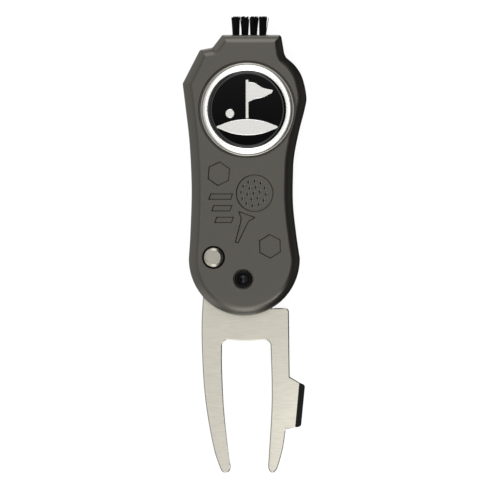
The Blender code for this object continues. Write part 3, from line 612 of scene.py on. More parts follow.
def carve(piece, cutters, sharp=30):
    """Subtracts the cutters from the piece and stores the result in its mesh."""
    tools = []
    for number, bm in enumerate(cutters):
        tool = finished(bm, f"cutter_{number}")
        step = piece.modifiers.new(f"cut_{number}", "BOOLEAN")
        step.operation = "DIFFERENCE"
        step.solver = "MANIFOLD"
        step.object = tool
        tools.append(tool)
    bpy.context.view_layer.update()
    graph = bpy.context.evaluated_depsgraph_get()
    mesh = bpy.data.meshes.new_from_object(piece.evaluated_get(graph))
    finish = piece.data.materials[0]
    mesh.materials.clear()
    mesh.materials.append(finish)
    for face in mesh.polygons:
        face.material_index = 0
    piece.modifiers.clear()
    piece.data = mesh
    for tool in tools:
        bpy.data.objects.remove(tool)
    shade(mesh, sharp)


def quarter(width, drop, top, steps, power=2.0):
    """Insets and heights of a rounded edge that ends flat at the top."""
    found = []
    for i in range(steps + 1):
        angle = math.pi / 2 * i / steps
        x = width * (1 - math.cos(angle) ** (2 / power))
        z = top - drop * (1 - math.sin(angle) ** (2 / power))
        found.append((x, z))
    return found


# Materials


def add_node(tree, kind, values=None, links=None, **attributes):
    """Adds a node with its attributes, its values and the sockets that feed it."""
    node = tree.nodes.new(kind)
    for name, value in attributes.items():
        setattr(node, name, value)
    for socket, value in (values or {}).items():
        node.inputs[socket].default_value = value
    for socket, source in (links or {}).items():
        tree.links.new(source, node.inputs[socket])
    return node


def new_material(name, colour, roughness, metallic=0.0, **more):
    """A material with one Principled shader. It returns the material, its tree and the shader."""
    made = bpy.data.materials.get(name) or bpy.data.materials.new(name)
    made.use_nodes = True
    tree = made.node_tree
    tree.nodes.clear()
    out = tree.nodes.new("ShaderNodeOutputMaterial")
    values = {"Base Color": (*colour, 1), "Roughness": roughness, "Metallic": metallic}
    values.update({name.replace("_", " "): value for name, value in more.items()})
    shader = add_node(tree, "ShaderNodeBsdfPrincipled", values)
    tree.links.new(shader.outputs[0], out.inputs["Surface"])
    made.diffuse_color = (*colour, 1)
    return made, tree, shader


def grain(tree, scale, detail=3.0, roughness=0.5):
    """Noise in the object's own coordinates. The scale is one over a grain's size in metres, per axis."""
    place = add_node(tree, "ShaderNodeTexCoord")
    sized = add_node(
        tree,
        "ShaderNodeMapping",
        {"Scale": scale},
        {"Vector": place.outputs["Object"]},
        vector_type="POINT",
    )
    return add_node(
        tree,
        "ShaderNodeTexNoise",
        {"Scale": 1.0, "Detail": detail, "Roughness": roughness},
        {"Vector": sized.outputs[0]},
    )


def vary(tree, shader, noise, colour, spread, roughness=None):
    """Lets the noise lighten and darken the colour and, if asked, change the roughness."""
    dark = tuple(c * (1 - spread) for c in colour)
    light = tuple(min(1.0, c * (1 + spread)) for c in colour)
    mix = add_node(
        tree,
        "ShaderNodeMix",
        {6: (*dark, 1), 7: (*light, 1)},
        {0: noise.outputs[0]},
        data_type="RGBA",
    )
    tree.links.new(mix.outputs[2], shader.inputs["Base Color"])
    if roughness:
        spread_to = add_node(
            tree,
            "ShaderNodeMapRange",
            {"To Min": roughness[0], "To Max": roughness[1]},
            {"Value": noise.outputs[0]},
        )
        tree.links.new(spread_to.outputs[0], shader.inputs["Roughness"])


def bump(tree, shader, noise, height_mm):
    """Lets the noise raise the surface by the given height."""
    rise = add_node(
        tree,
        "ShaderNodeBump",
        {"Strength": 1.0, "Distance": height_mm * MM},
        {"Height": noise.outputs[0]},
    )
    tree.links.new(rise.outputs[0], shader.inputs["Normal"])


def per_mm(*sizes):
    """Scale of a pattern whose grains measure the given millimetres along X, Y and Z."""
    return tuple(1 / (size * MM) for size in sizes)


def soft_touch_paint(colour):
    """Soft-touch gunmetal paint on moulded plastic: fine metal pigment under a rubbery matt skin."""
    made, tree, shader = new_material("soft_touch_paint_sprayed", colour, 0.3, 0.85, IOR=1.5)
    noise = grain(tree, per_mm(0.3, 0.3, 0.3))
    vary(tree, shader, noise, colour, 0.05, (0.26, 0.33))
    bump(tree, shader, noise, 0.003)
    return made


def brushed_steel(colour):
    """Stainless sheet brushed across the prongs. Real lines are finer than the 0.25 mm drawn here."""
    made, tree, shader = new_material("stainless_steel_brushed", colour, 0.36, 1.0)
    noise = grain(tree, per_mm(3.5, 0.25, 0.25), 5.0, 0.7)
    vary(tree, shader, noise, colour, 0.24, (0.26, 0.44))
    bump(tree, shader, noise, 0.004)
    return made


def sheared_steel():
    """The stamped edges of the fork: tumbled, darker and smoother than its brushed faces."""
    colour = linear("#8E8B83")
    made, tree, shader = new_material("stainless_steel_tumbled_edge", colour, 0.24, 1.0)
    noise = grain(tree, per_mm(0.3, 0.3, 0.3))
    vary(tree, shader, noise, colour, 0.1, (0.2, 0.32))
    return made


def ground_steel_painted_dark_reflection():
    """The ground face of the groove cleaner: coarse grinding lines across a bare edge, coloured darker than
    the steel as a painted reflection of the dark side of the studio.
    """
    # Dark grey: painted reflection of the dark studio side, laid on bare ground steel
    colour = linear("#3E3E3E")
    made, tree, shader = new_material("stainless_steel_ground_painted_dark_reflection", colour, 0.42, 1.0)
    noise = grain(tree, per_mm(4.0, 0.12, 4.0))
    vary(tree, shader, noise, colour, 0.2, (0.36, 0.5))
    bump(tree, shader, noise, 0.005)
    return made


def polished_nickel(colour):
    """Bright nickel plate, polished: it shines, with a faint haze from handling."""
    made, tree, shader = new_material("nickel_plate_polished", colour, 0.2, 1.0)
    noise = grain(tree, per_mm(1.2, 1.2, 1.2))
    vary(tree, shader, noise, colour, 0.015, (0.17, 0.24))
    return made


def lapped_nickel(colour):
    """Nickel plate over a struck relief, brushed by hand: duller than the rim."""
    made, tree, shader = new_material("nickel_plate_struck", colour, 0.3, 1.0)
    colour = tuple(0.72 * c for c in colour)
    noise = grain(tree, per_mm(0.5, 0.3, 0.5))
    vary(tree, shader, noise, colour, 0.05, (0.2, 0.3))
    return made


def nickel_ring_painted_shade():
    """The bead and groove round the marker: greyer and duller than the rim, the greyer colour being painted
    shade on the bead and groove.
    """
    # Greyer colour: painted shade on the bead and groove
    colour = linear("#A8A69F")
    made, tree, shader = new_material("nickel_plate_painted_shade", colour, 0.4, 1.0)
    noise = grain(tree, per_mm(1.0, 1.0, 1.0))
    vary(tree, shader, noise, colour, 0.15, (0.34, 0.46))
    return made


def satin_nickel(colour):
    """Satin nickel plate on the push button, blasted. Real grain is finer than the 0.4 mm drawn here."""
    made, tree, shader = new_material("nickel_plate_satin", colour, 0.3, 1.0)
    noise = grain(tree, per_mm(0.4, 0.4, 0.4), 5.0, 0.65)
    vary(tree, shader, noise, colour, 0.16, (0.24, 0.38))
    bump(tree, shader, noise, 0.006)
    return made


def black_oxide():
    """Blackened alloy screw steel, slightly oily."""
    colour = linear("#050505")
    made, tree, shader = new_material("alloy_steel_black_oxide", colour, 0.2, 0.0, Specular_IOR_Level=0.1)
    noise = grain(tree, per_mm(0.2, 0.2, 0.2))
    vary(tree, shader, noise, colour, 0.25, (0.14, 0.26))
    bump(tree, shader, noise, 0.003)
    return made


def worn_steel():
    """The socket of the pivot screw, where the key has rubbed the black off."""
    colour = linear("#1F1F21")
    made, tree, shader = new_material("alloy_steel_worn_black", colour, 0.16, 0.9)
    noise = grain(tree, per_mm(0.6, 0.6, 0.6))
    vary(tree, shader, noise, colour, 0.8, (0.12, 0.3))
    return made


def black_enamel(colour):
    """Hard enamel filled level and polished: deep black under a clear gloss."""
    made, tree, shader = new_material("enamel_filled_polished", colour, 0.04, Specular_IOR_Level=0.35)
    noise = grain(tree, per_mm(2.0, 2.0, 2.0))
    vary(tree, shader, noise, colour, 0.1, (0.03, 0.05))
    return made


def black_nylon():
    """Extruded nylon filament: black, with a soft shine along each bristle."""
    colour = linear("#030304")
    made, tree, shader = new_material("nylon_filament_extruded", colour, 0.5, Specular_IOR_Level=0.07)
    noise = grain(tree, per_mm(0.25, 2.0, 0.25))
    vary(tree, shader, noise, colour, 0.3, (0.36, 0.5))
    return made


def moulded_nylon(name, colour):
    """Moulded nylon with a faint spark-eroded grain."""
    made, tree, shader = new_material(name, colour, 0.5, IOR=1.53)
    noise = grain(tree, per_mm(0.2, 0.2, 0.2))
    vary(tree, shader, noise, colour, 0.05, (0.45, 0.55))
    bump(tree, shader, noise, 0.004)
    return made


def turned_metal(name, colour, roughness):
    """Metal turned on a lathe or drawn as wire, with fine rings round its axis."""
    made, tree, shader = new_material(name, colour, roughness, 1.0)
    noise = grain(tree, per_mm(3.0, 3.0, 0.1))
    vary(tree, shader, noise, colour, 0.06, (roughness - 0.05, roughness + 0.08))
    bump(tree, shader, noise, 0.003)
    return made


def spring_wire():
    """Spring steel, drawn bright as wire."""
    return turned_metal("spring_steel_drawn", linear("#9D9D9F"), 0.28)


def floor_paper():
    """Seamless white studio paper, lit from below so that it stays pale under the tool."""
    colour = linear("#606060")
    made, tree, shader = new_material("paper_seamless", colour, 0.9, IOR=1.3)
    shader.inputs["Emission Color"].default_value = (1, 1, 1, 1)
    shader.inputs["Emission Strength"].default_value = 0.92
    noise = grain(tree, per_mm(0.4, 0.4, 0.4))
    bump(tree, shader, noise, 0.01)
    return made


def dress(node, finish):
    """Gives a node of the frame its finish."""
    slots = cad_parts[node].data.materials
    slots.clear()
    slots.append(finish)


def settings():
    """Every size and colour that the user has set."""
    return bpy.context.scene.divot_tool


# Pieces


def sunk(outline, depth):
    """A cutter that sinks the outline into the front, with sloping walls."""
    low = HANDLE_TOP - depth
    levels = [(depth * 0.52, low), (depth * 0.42, low + 0.05), (0, HANDLE_TOP), (0, HANDLE_TOP + 1)]
    return stacked(dense(outline, 0.3), levels)


def motif_cutters(depth):
    """Sunk motifs on the front: a golf ball on a tee with three bars behind it, and two hexagons."""
    lean = Matrix.Translation((3.0, 22.9, 0)) @ Matrix.Rotation(math.radians(-20), 4, "Z")
    ball_radius = 5.0
    tee_top = -ball_radius - 0.9
    cup = smooth(
        [(-2.4, tee_top), (-2.1, tee_top - 0.7), (-1.3, tee_top - 1.5), (-1.0, tee_top - 2.7)], 6
    )
    tee = cup + [(-0.5, tee_top - 8.2), (0.5, tee_top - 8.2)] + [(-x, y) for x, y in reversed(cup)]
    cutters = [sunk(outline, depth) for outline in (arc((0, 0), ball_radius, 0, 360, 96)[:-1], tee)]
    cutters.append(dimples(depth))
    for bm in cutters:
        bmesh.ops.transform(bm, matrix=lean, verts=bm.verts)
    half_bar, slant = 0.85, 0.6
    for left, right, level in ((-9.4, -3.3, 22.0), (-8.6, -3.5, 18.9), (-7.8, -3.1, 15.8)):
        low, high = level - half_bar, level + half_bar
        bar = [(left, low), (right, low), (right + slant, high), (left + slant, high)]
        cutters.append(sunk(bar, depth))
    for centre, radius, turn in (((-6.54, 28.1), 3.3, -5), ((7.08, 8.76), 3.3, 2)):
        cutters.append(sunk(arc(centre, radius, 90 + turn, 450 + turn, 6)[:-1], depth))
    return cutters


def dimples(depth):
    """Shallow caps that sink the dimples into the floor of the ball."""
    bm = bmesh.new()
    radius = 0.85
    above_floor = 0.66
    places = [(0.0, 0.0)] + arc((0, 0), 1.7, 30, 330, 5) + arc((0, 0), 3.3, 15, 345, 11)
    for x, y in places:
        made = bmesh.ops.create_uvsphere(bm, u_segments=20, v_segments=14, radius=radius)["verts"]
        bmesh.ops.translate(bm, vec=(x, y, HANDLE_TOP - depth + above_floor), verts=made)
    return bm


def brush_pocket(grow):
    """The space of the brush base, with its wider foot."""
    half = (BRUSH_HIGH.x - BRUSH_LOW.x) / 2 + grow
    narrow = half - BRUSH_FLANGE
    step = BRUSH_LOW.y + BRUSH_FLANGE_DEPTH + grow
    foot = BRUSH_LOW.y - grow
    tip = BRUSH_END + 10
    left = [(-half, foot), (half, foot), (half, step), (narrow, step), (narrow, tip)]
    right = [(-narrow, tip), (-narrow, step), (-half, step)]
    outline = [(BRUSH_X + x, y) for x, y in left + right]
    return prism(outline, BRUSH_LOW.z - grow, BRUSH_HIGH.z + grow)


class DIVOT_OT_stage(bpy.types.Operator):
    """Pale floor, soft light and the camera above the tool"""

    bl_idname = "divot.stage"
    bl_label = "Stage"

    def execute(self, context):
        bm = bmesh.new()
        bmesh.ops.create_grid(bm, x_segments=1, y_segments=1, size=1500)
        bmesh.ops.translate(bm, vec=(0, 0, -0.05), verts=bm.verts)
        floor = finished(bm, "stage_floor", floor_paper())
        floor.visible_diffuse = False
        floor.visible_glossy = False
        self.light(context)
        self.panel(context, place=(46, -54, 74), aim=(12, -38, FORK_HIGH.z), size=30, power=0.0035)
        camera = bpy.data.objects.new("camera", bpy.data.cameras.new("camera"))
        context.scene.collection.objects.link(camera)
        distance = 900.0
        view_width = 131.9
        centre = (0.7, 8.84)
        camera.location = Vector((*centre, distance + HANDLE_TOP / 2)) * MM
        camera.data.sensor_width = 36
        camera.data.lens = 36 * distance / view_width
        camera.data.clip_start = 0.01
        context.scene.camera = camera
        context.scene.view_settings.view_transform = "Standard"
        return {"FINISHED"}

    def light(self, context):
        """A soft studio all round: bright panels beyond both ends, dark to the right and straight above."""
        world = context.scene.world or bpy.data.worlds.new("studio")
        context.scene.world = world
        world.use_nodes = True
        tree = world.node_tree
        tree.nodes.clear()
        out = tree.nodes.new("ShaderNodeOutputWorld")
        place = add_node(tree, "ShaderNodeTexCoord")
        axes = add_node(tree, "ShaderNodeSeparateXYZ", links={0: place.outputs["Generated"]})
        across = self.profile(tree, axes.outputs["X"], SIDE_LIGHT)
        along = self.profile(tree, axes.outputs["Y"], END_LIGHT)
        above = self.profile(tree, axes.outputs["Z"], TOP_LIGHT)
        pair = add_node(tree, "ShaderNodeMath", links={0: across, 1: along}, operation="MULTIPLY")
        links = {0: pair.outputs[0], 1: above}
        level = add_node(tree, "ShaderNodeMath", links=links, operation="MULTIPLY")
        white = {"Color": (1, 1, 1, 1)}
        sky = add_node(tree, "ShaderNodeBackground", white, {"Strength": level.outputs[0]})
        tree.links.new(sky.outputs[0], out.inputs["Surface"])

    def panel(self, context, place, aim, size, power):
        """A small square light over the prongs, with a grid that keeps it off the handle."""
        lamp = bpy.data.lights.new("panel", "AREA")
        lamp.size = size * MM
        lamp.energy = power
        lamp.spread = math.radians(60)
        holder = bpy.data.objects.new("panel", lamp)
        holder.location = Vector(place) * MM
        holder.rotation_euler = (Vector(aim) - Vector(place)).to_track_quat("-Z", "Y").to_euler()
        context.scene.collection.objects.link(holder)

    def profile(self, tree, source, steps):
        """Strength of the light against one direction, through (direction, strength) points."""
        ends = {"From Min": -1, "From Max": 1}
        placed = add_node(tree, "ShaderNodeMapRange", ends, {"Value": source})
        curve = add_node(tree, "ShaderNodeFloatCurve", {"Factor": 1.0}, {"Value": placed.outputs[0]})
        line = curve.mapping.curves[0]
        scaled = [((x + 1) / 2, y / LIGHT_SCALE) for x, y in steps]
        line.points[0].location = scaled[0]
        line.points[1].location = scaled[-1]
        for x, y in scaled[1:-1]:
            line.points.new(x, y)
        for point in line.points:
            point.handle_type = "AUTO_CLAMPED"
        curve.mapping.update()
        raised = add_node(
            tree, "ShaderNodeMath", {1: LIGHT_SCALE}, {0: curve.outputs[0]}, operation="MULTIPLY"
        )
        return raised.outputs[0]


class DIVOT_OT_handle(bpy.types.Operator):
    """The two shells of the handle, with their edges, seats, slot and sunk motifs"""

    bl_idname = "divot.handle"
    bl_label = "Handle"

    def execute(self, context):
        handle = settings().handle
        paint = soft_touch_paint(tuple(handle.paint))
        outline = dense(handle_outline(), 0.5)
        self.front(outline, handle, paint)
        self.rear(outline, paint)
        return {"FINISHED"}

    def front(self, outline, handle, paint):
        """The front shell, with a rounded front edge and everything that is let into it."""
        levels = [(SHELL_LIP, FRONT_LOW), (0, FRONT_LOW + SHELL_LIP)]
        levels += quarter(handle.edge_width, handle.edge_drop, HANDLE_TOP, 16, 1.7)
        levels += [(handle.edge_width + 0.08, HANDLE_TOP)]
        shell = finished(stacked(outline, levels, 0.12), "front_shell_painted", paint)
        high = HANDLE_TOP + 1
        low = FRONT_LOW - 1
        web = SCREW_HIGH.z - SCREW_HEAD_HEIGHT - FIT
        coin = (COIN.x, COIN.y)
        button = (BUTTON.x, BUTTON.y)
        cutters = [
            prism(slot_outline(), low, FORK_HIGH.z + BLADE_GAP),
            drill(SCREW_RADIUS + SCREW_HEAD_GAP, web, high, flare=0.2),
            drill(SCREW_SHANK + BORE_GAP, low, high),
            drill(SPRING_POCKET, low, web - SCREW_WEB),
            drill(BUTTON_CAP_RADIUS + BUTTON_GAP, low, high, button, flare=0.05),
            drill(FLANGE_RADIUS + BORE_GAP, low, BUTTON_HIGH.z - BUTTON_CAP + FIT, button),
            drill(COIN_RADIUS + MARKER_GAP, COIN_LOW.z - FIT, high, coin, flare=0.15, steps=160),
            drill(MAGNET_POCKET, COIN_LOW.z - MAGNET_POCKET_DEPTH, COIN_LOW.z, coin),
            brush_pocket(FIT),
        ]
        cutters += motif_cutters(handle.engraving)
        carve(shell, cutters)
        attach(shell, "handle")
        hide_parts("front_shell")

    def rear(self, outline, paint):
        """The rear shell, with a flat back and counterbores for the screws that close the handle."""
        edge = quarter(REAR_EDGE, REAR_EDGE, REAR_EDGE, 8)
        levels = [(REAR_EDGE + 0.08, 0)]
        levels += [(width, REAR_EDGE - height) for width, height in reversed(edge)]
        levels += [(0, REAR_TOP - SHELL_LIP), (SHELL_LIP, REAR_TOP)]
        shell = finished(stacked(outline, levels), "rear_shell_painted", paint)
        high = REAR_TOP + 1
        button = (BUTTON.x, BUTTON.y)
        slot_low = FORK_LOW.z - BLADE_GAP
        cutters = [
            prism(slot_outline(), slot_low, high),
            drill(WASHER_SEAT, slot_low - WASHER_SEAT_DEPTH, high),
            drill(COLLAR_RADIUS + BORE_GAP, slot_low - RETURN_SPRING_POCKET, high, button),
            brush_pocket(FIT),
        ]
        for node in SHELL_SCREWS:
            centre = (middle(node).x, middle(node).y)
            seat = corners(node)[0].z + SHELL_SCREW_HEAD_HEIGHT + FIT
            wide, narrow = SHELL_SCREW_BORE, SHELL_SCREW_SHANK_BORE
            profile = [(0, -1), (wide + 0.1, -1), (wide + 0.1, 0), (wide, 0.1)]
            profile += [(wide, seat), (narrow, seat), (narrow, high)]
            cutters.append(turned(profile + [(0, high)], centre, 48))
        carve(shell, cutters)
        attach(shell, "handle")
        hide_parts("rear_shell")


class DIVOT_OT_fork(bpy.types.Operator):
    """The brushed fork with its ground groove cleaner"""

    bl_idname = "divot.fork"
    bl_label = "Fork"

    def execute(self, context):
        steel = brushed_steel(tuple(settings().metal.steel))
        low, high = FORK_LOW.z, FORK_HIGH.z
        bm = prism(fork_outline(), low, high)
        round_rim(bm, low, FORK_EDGE, 2)
        round_rim(bm, high, FORK_EDGE, 2)
        fork = finished(bm, "fork_brushed", steel)
        collar = COLLAR_RADIUS + FIT
        cutters = [drill(PIVOT_HOLE, low - 1, high + 1)]
        for side in (1, -1):
            cutters.append(drill(collar, low - 1, high + 1, (side * BUTTON.x, side * BUTTON.y)))
        cutters.append(self.wedge())
        carve(fork, cutters)
        fork.data.materials.append(ground_steel_painted_dark_reflection())
        fork.data.materials.append(sheared_steel())
        # Tab faces leaning up and to the right take the ground steel, whose dark colour is a painted
        # reflection; other sloping faces take the stamped edge finish
        for face in fork.data.polygons:
            raised = face.normal.z > 0.3 and face.normal.x > 0.3
            if raised and face.center.x > (TAB_RIGHT - 3) * MM and face.area > MM * MM:
                face.material_index = 1
            elif abs(face.normal.z) < LEVEL:
                face.material_index = 2
        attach(fork, "blade")
        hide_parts("fork_blade")
        return {"FINISHED"}

    def wedge(self):
        """The wedge that grinds the tab down to a thin edge."""
        up = Vector((0, 0, 1))
        near = Vector((TAB_RIGHT, -TAB_START, 0))
        far = Vector((TAB_RIGHT - TAB_LEAN, -TAB_START - TAB_LENGTH, 0))
        along = (far - near).normalized()
        inward = along.cross(up)
        inner = inward * TAB_GROUND + up * FORK_HIGH.z
        outer = up * (FORK_LOW.z + TAB_EDGE)
        slope = (inner - outer).normalized()
        below = outer - slope * WEDGE_BEYOND
        above = inner + slope
        profile = [below, above, above + up * WEDGE_BEYOND, below + up * 2 * WEDGE_BEYOND]
        bm = bmesh.new()
        face = bm.faces.new([bm.verts.new(near - along * 3 + p) for p in profile])
        grown = bmesh.ops.extrude_face_region(bm, geom=[face])["geom"]
        moved = [item for item in grown if isinstance(item, bmesh.types.BMVert)]
        bmesh.ops.translate(bm, vec=along * (TAB_LENGTH + 6), verts=moved)
        bmesh.ops.recalc_face_normals(bm, faces=bm.faces)
        return bm


class DIVOT_OT_pivot(bpy.types.Operator):
    """The hex-socket pivot screw and the hidden pieces round it"""

    bl_idname = "divot.pivot"
    bl_label = "Pivot"

    def execute(self, context):
        top = SCREW_HIGH.z
        radius = SCREW_RADIUS
        head = top - SCREW_HEAD_HEIGHT
        edge = SCREW_CROWN
        cone = top - COUNTERSINK
        crown = [
            (radius - edge * (1 - math.cos(a)), top - edge * (1 - math.sin(a)))
            for a in (math.pi / 2 * i / 6 for i in range(7))
        ]
        profile = [(0, SCREW_LOW.z), (SCREW_SHANK, SCREW_LOW.z), (SCREW_SHANK, head), (radius, head)]
        profile += crown + [(1.62, top), (1.32, cone), (0, cone)]
        screw = finished(turned(profile), "pivot_screw_blackened", black_oxide())
        floor = top - SOCKET_DEPTH
        socket = drill(SOCKET_RADIUS, floor, top + 1, steps=6)
        point = turned([(0, floor - 0.45), (0.95, floor + 0.02), (0, floor + 0.3)], steps=24)
        carve(screw, [socket, point])
        screw.data.materials.append(worn_steel())
        for face in screw.data.polygons:
            inside = face.center.xy.length < 1.6 * MM and face.center.z > (floor - 0.6) * MM
            if inside and abs(face.normal.z) < LEVEL and face.center.z < top * MM:
                face.material_index = 1
        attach(screw, "handle")
        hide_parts("pivot_screw")
        plain = turned_metal("steel_turned", linear("#B4B4B2"), 0.32)
        pale = moulded_nylon("nylon_moulded_natural", linear("#DEDCD4"))
        for node in ("pivot_sleeve", "lock_plunger", "magnet_keeper", *DOWELS):
            dress(node, plain)
        dress("torsion_spring", spring_wire())
        for node in ("front_washer", "rear_washer"):
            dress(node, pale)
        return {"FINISHED"}


class DIVOT_OT_button(bpy.types.Operator):
    """The push button, a satin cap on a blackened flange"""

    bl_idname = "divot.button"
    bl_label = "Button"

    def execute(self, context):
        top = BUTTON_HIGH.z
        flange, radius = FLANGE_RADIUS, BUTTON_CAP_RADIUS
        shoulder = top - BUTTON_CAP
        roof = top - BUTTON_ROOF
        profile = [(0, roof), (1.0, roof), (1.0, BUTTON_LOW.z), (flange, BUTTON_LOW.z)]
        profile += [(flange, shoulder), (radius, shoulder), (radius, top - 0.55)]
        profile += [(radius - 0.06, top - 0.42), (radius - 0.16, top - 0.34)]
        profile += [(radius - 0.58, top - 0.06), (radius - 0.72, top), (0, top)]
        body = turned(profile, (BUTTON.x, BUTTON.y))
        nickel = satin_nickel(tuple(settings().metal.button))
        cap = finished(body, "push_button_satin", nickel, 50)
        cap.data.materials.append(black_oxide())
        for face in cap.data.polygons:
            face.material_index = int(face.center.z < (top - 0.9) * MM)
        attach(cap, "button")
        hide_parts("release_button")
        self.spring()
        return {"FINISHED"}

    def spring(self):
        """The return spring, which closes up as the button goes down."""
        low, high = corners("button_spring")
        wire, turns = RETURN_SPRING_WIRE, RETURN_SPRING_TURNS
        steps = 48
        radius = (high.x - low.x) / 2 - wire
        rise = (high.z - low.z - 2 * wire) / (turns * steps)
        bm = bmesh.new()
        ring = bmesh.ops.create_circle(bm, cap_ends=True, radius=wire, segments=10)["verts"]
        upright = Matrix.Rotation(math.pi / 2, 4, "X")
        start = Matrix.Translation((BUTTON.x + radius, BUTTON.y, low.z + wire))
        bmesh.ops.transform(bm, matrix=start @ upright, verts=ring)
        bmesh.ops.spin(
            bm,
            geom=bm.verts[:] + bm.edges[:] + bm.faces[:],
            cent=(BUTTON.x, BUTTON.y, 0),
            axis=(0, 0, 1),
            dvec=(0, 0, rise),
            angle=WHOLE_TURN * turns,
            steps=round(turns * steps),
            use_duplicate=False,
        )
        bmesh.ops.recalc_face_normals(bm, faces=bm.faces)
        spring = finished(bm, "button_spring_wound", spring_wire(), 60)
        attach(spring, "handle")
        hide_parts("button_spring")
        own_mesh(spring)


class DIVOT_OT_marker(bpy.types.Operator):
    """The plated marker, its enamel and its emblem"""

    bl_idname = "divot.marker"
    bl_label = "Marker"

    def execute(self, context):
        metal = settings().metal
        nickel = polished_nickel(tuple(metal.nickel))
        enamel_low, enamel_high = corners("marker_enamel")
        inner = (enamel_high.x - enamel_low.x) / 2 + 0.08
        centre = (COIN.x, COIN.y)
        self.coin(nickel, inner, enamel_low.z - 0.05, centre)
        disc = self.disc(inner, enamel_low.z, enamel_high.z, centre)
        disc = finished(disc, "marker_enamel_fill", black_enamel(tuple(metal.enamel)))
        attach(disc, "marker")
        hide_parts("marker_enamel")
        emblem = self.emblem(enamel_high.z)
        emblem = finished(emblem, "marker_emblem_raised", lapped_nickel(tuple(metal.nickel)), 40)
        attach(emblem, "marker")
        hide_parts("marker_emblem")
        dress("marker_magnet", satin_nickel(tuple(metal.button)))
        return {"FINISHED"}

    def coin(self, nickel, inner, floor, centre):
        """The steel body: a bead and a groove outside a broad flat rim, which drops to the enamel."""
        low, top = COIN_LOW.z, COIN_HIGH.z
        radius = COIN_RADIUS
        profile = [(0, low), (radius - 0.35, low), (radius - 0.1, low + 0.1), (radius, low + 0.35)]
        profile += [(radius, top - 0.42), (radius - 0.05, top - 0.3), (radius - 0.17, top - 0.24)]
        profile += [(radius - 0.3, top - 0.27), (radius - 0.38, top - 0.36), (radius - 0.46, top - 0.3)]
        profile += [(radius - 0.54, top - 0.14), (radius - 0.7, top - 0.06), (inner + 0.5, top)]
        profile += [(inner + 0.25, top - 0.03), (inner + 0.1, top - 0.14), (inner, top - 0.3)]
        profile += [(inner, floor), (0, floor)]
        coin = finished(turned(profile, centre, 192), "marker_coin_plated", nickel, 50)
        coin.data.materials.append(nickel_ring_painted_shade())
        middle_point = Vector(centre) * MM
        # The outer band beyond the flat rim takes the greyer nickel, which paints shade onto the bead and
        # groove
        for face in coin.data.polygons:
            face.material_index = int((face.center.xy - middle_point).length > (radius - 0.69) * MM)
        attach(coin, "marker")
        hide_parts("marker_coin")

    def disc(self, inner, low, high, centre):
        """The enamel, which rounds down where it meets the rim."""
        edge = inner - 0.01
        profile = [(0, low), (edge, low), (edge, high - 0.2), (edge - 0.14, high - 0.12)]
        profile += [(edge - 0.32, high - 0.05), (edge - 0.55, high - 0.012)]
        profile += [(edge - 0.8, high), (0, high)]
        return turned(profile, centre, 192)

    def emblem(self, floor):
        """A flag on its pole over a putting green, with a ball beside it."""
        low, high = floor - 0.05, floor + 0.17
        upper = smooth([(0.4, 7.3), (2.2, 7.0), (4.4, 5.7), (7.0, 5.1)], 8)
        lower = smooth([(6.6, 4.3), (4.2, 3.2), (2.0, 2.7), (0.4, 1.9)], 8)
        flag = [(-0.45, 7.9), (-0.45, -2.4), (0.4, -2.4)] + (upper + lower)[::-1] + [(0.4, 7.9)]
        near = smooth([(8.2, -4.5), (4.2, -3.1), (0, -2.6), (-4.2, -3.1), (-8.2, -4.5)], 10)
        green = near + smooth([(-8.2, -4.9), (-4.2, -6.4), (0, -6.9), (4.2, -6.4), (8.2, -4.9)], 10)
        ball = arc((-4.6, -1.1), 1.2, 0, 360, 40)[:-1]
        bm = bmesh.new()
        for outline in (flag, green, ball):
            part = prism(outline, low, high)
            round_rim(part, high, 0.13, 3)
            mesh = bpy.data.meshes.new("part")
            part.to_mesh(mesh)
            part.free()
            bm.from_mesh(mesh)
            bpy.data.meshes.remove(mesh)
        bmesh.ops.translate(bm, vec=(COIN.x, COIN.y, 0), verts=bm.verts)
        bmesh.ops.recalc_face_normals(bm, faces=bm.faces)
        return bm


class DIVOT_OT_brush(bpy.types.Operator):
    """The brush base and its tufts of bristles"""

    bl_idname = "divot.brush"
    bl_label = "Brush"

    def execute(self, context):
        brush = settings().brush
        filament = black_nylon()
        dice = random.Random(brush.seed)
        for node in TUFTS:
            tuft = finished(self.tuft(node, brush, dice), node + "_bristles", filament)
            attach(tuft, "handle")
            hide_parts(node)
        dress("brush_base", moulded_nylon("nylon_moulded_black", linear("#1B1B1D")))
        return {"FINISHED"}

    def tuft(self, node, brush, dice):
        """One tuft: bristles spread evenly over its hole, which fan out a little towards their tips."""
        low, high = corners(node)
        centre = (low + high) / 2
        length = high.y - low.y
        side = (centre.x - BRUSH_X) / BRUSH_HALF
        bm = bmesh.new()
        for number in range(brush.count):
            reach = TUFT_RADIUS * 0.93 * math.sqrt((number + 0.5) / brush.count)
            turn = number * math.radians(137.5)
            x = centre.x + reach * math.cos(turn)
            z = centre.z + reach * math.sin(turn)
            lean_x = side * 0.03 + (x - centre.x) * 0.03 + dice.gauss(0, 0.014)
            lean_z = (z - centre.z) * 0.02 + dice.gauss(0, 0.014)
            tall = length - abs(dice.gauss(0, 0.35))
            self.bristle(bm, Vector((x, low.y, z)), tall, lean_x, lean_z, brush.thickness / 2, dice)
        return bm

    def bristle(self, bm, foot, tall, lean_x, lean_z, radius, dice):
        """One filament: a six-sided tube that leaves its hole straight and bends towards its tip."""
        bend = dice.gauss(0, 0.12)
        rings = []
        for share in (0.0, 0.4, 0.6, 0.8, 1.0):
            free = max(0.0, share - 0.38) / 0.62
            x = foot.x + lean_x * tall * free + bend * free * free
            y = foot.y + tall * share
            z = foot.z + lean_z * tall * free
            around = arc((x, z), radius * (1 - 0.15 * share), 0, 360, 6)[:-1]
            rings.append([bm.verts.new((px, y, pz)) for px, pz in around])
        for low, high in zip(rings, rings[1:]):
            for i in range(len(low)):
                bm.faces.new((low[i - 1], high[i - 1], high[i], low[i]))
        bm.faces.new(rings[0])
        bm.faces.new(rings[-1][::-1])


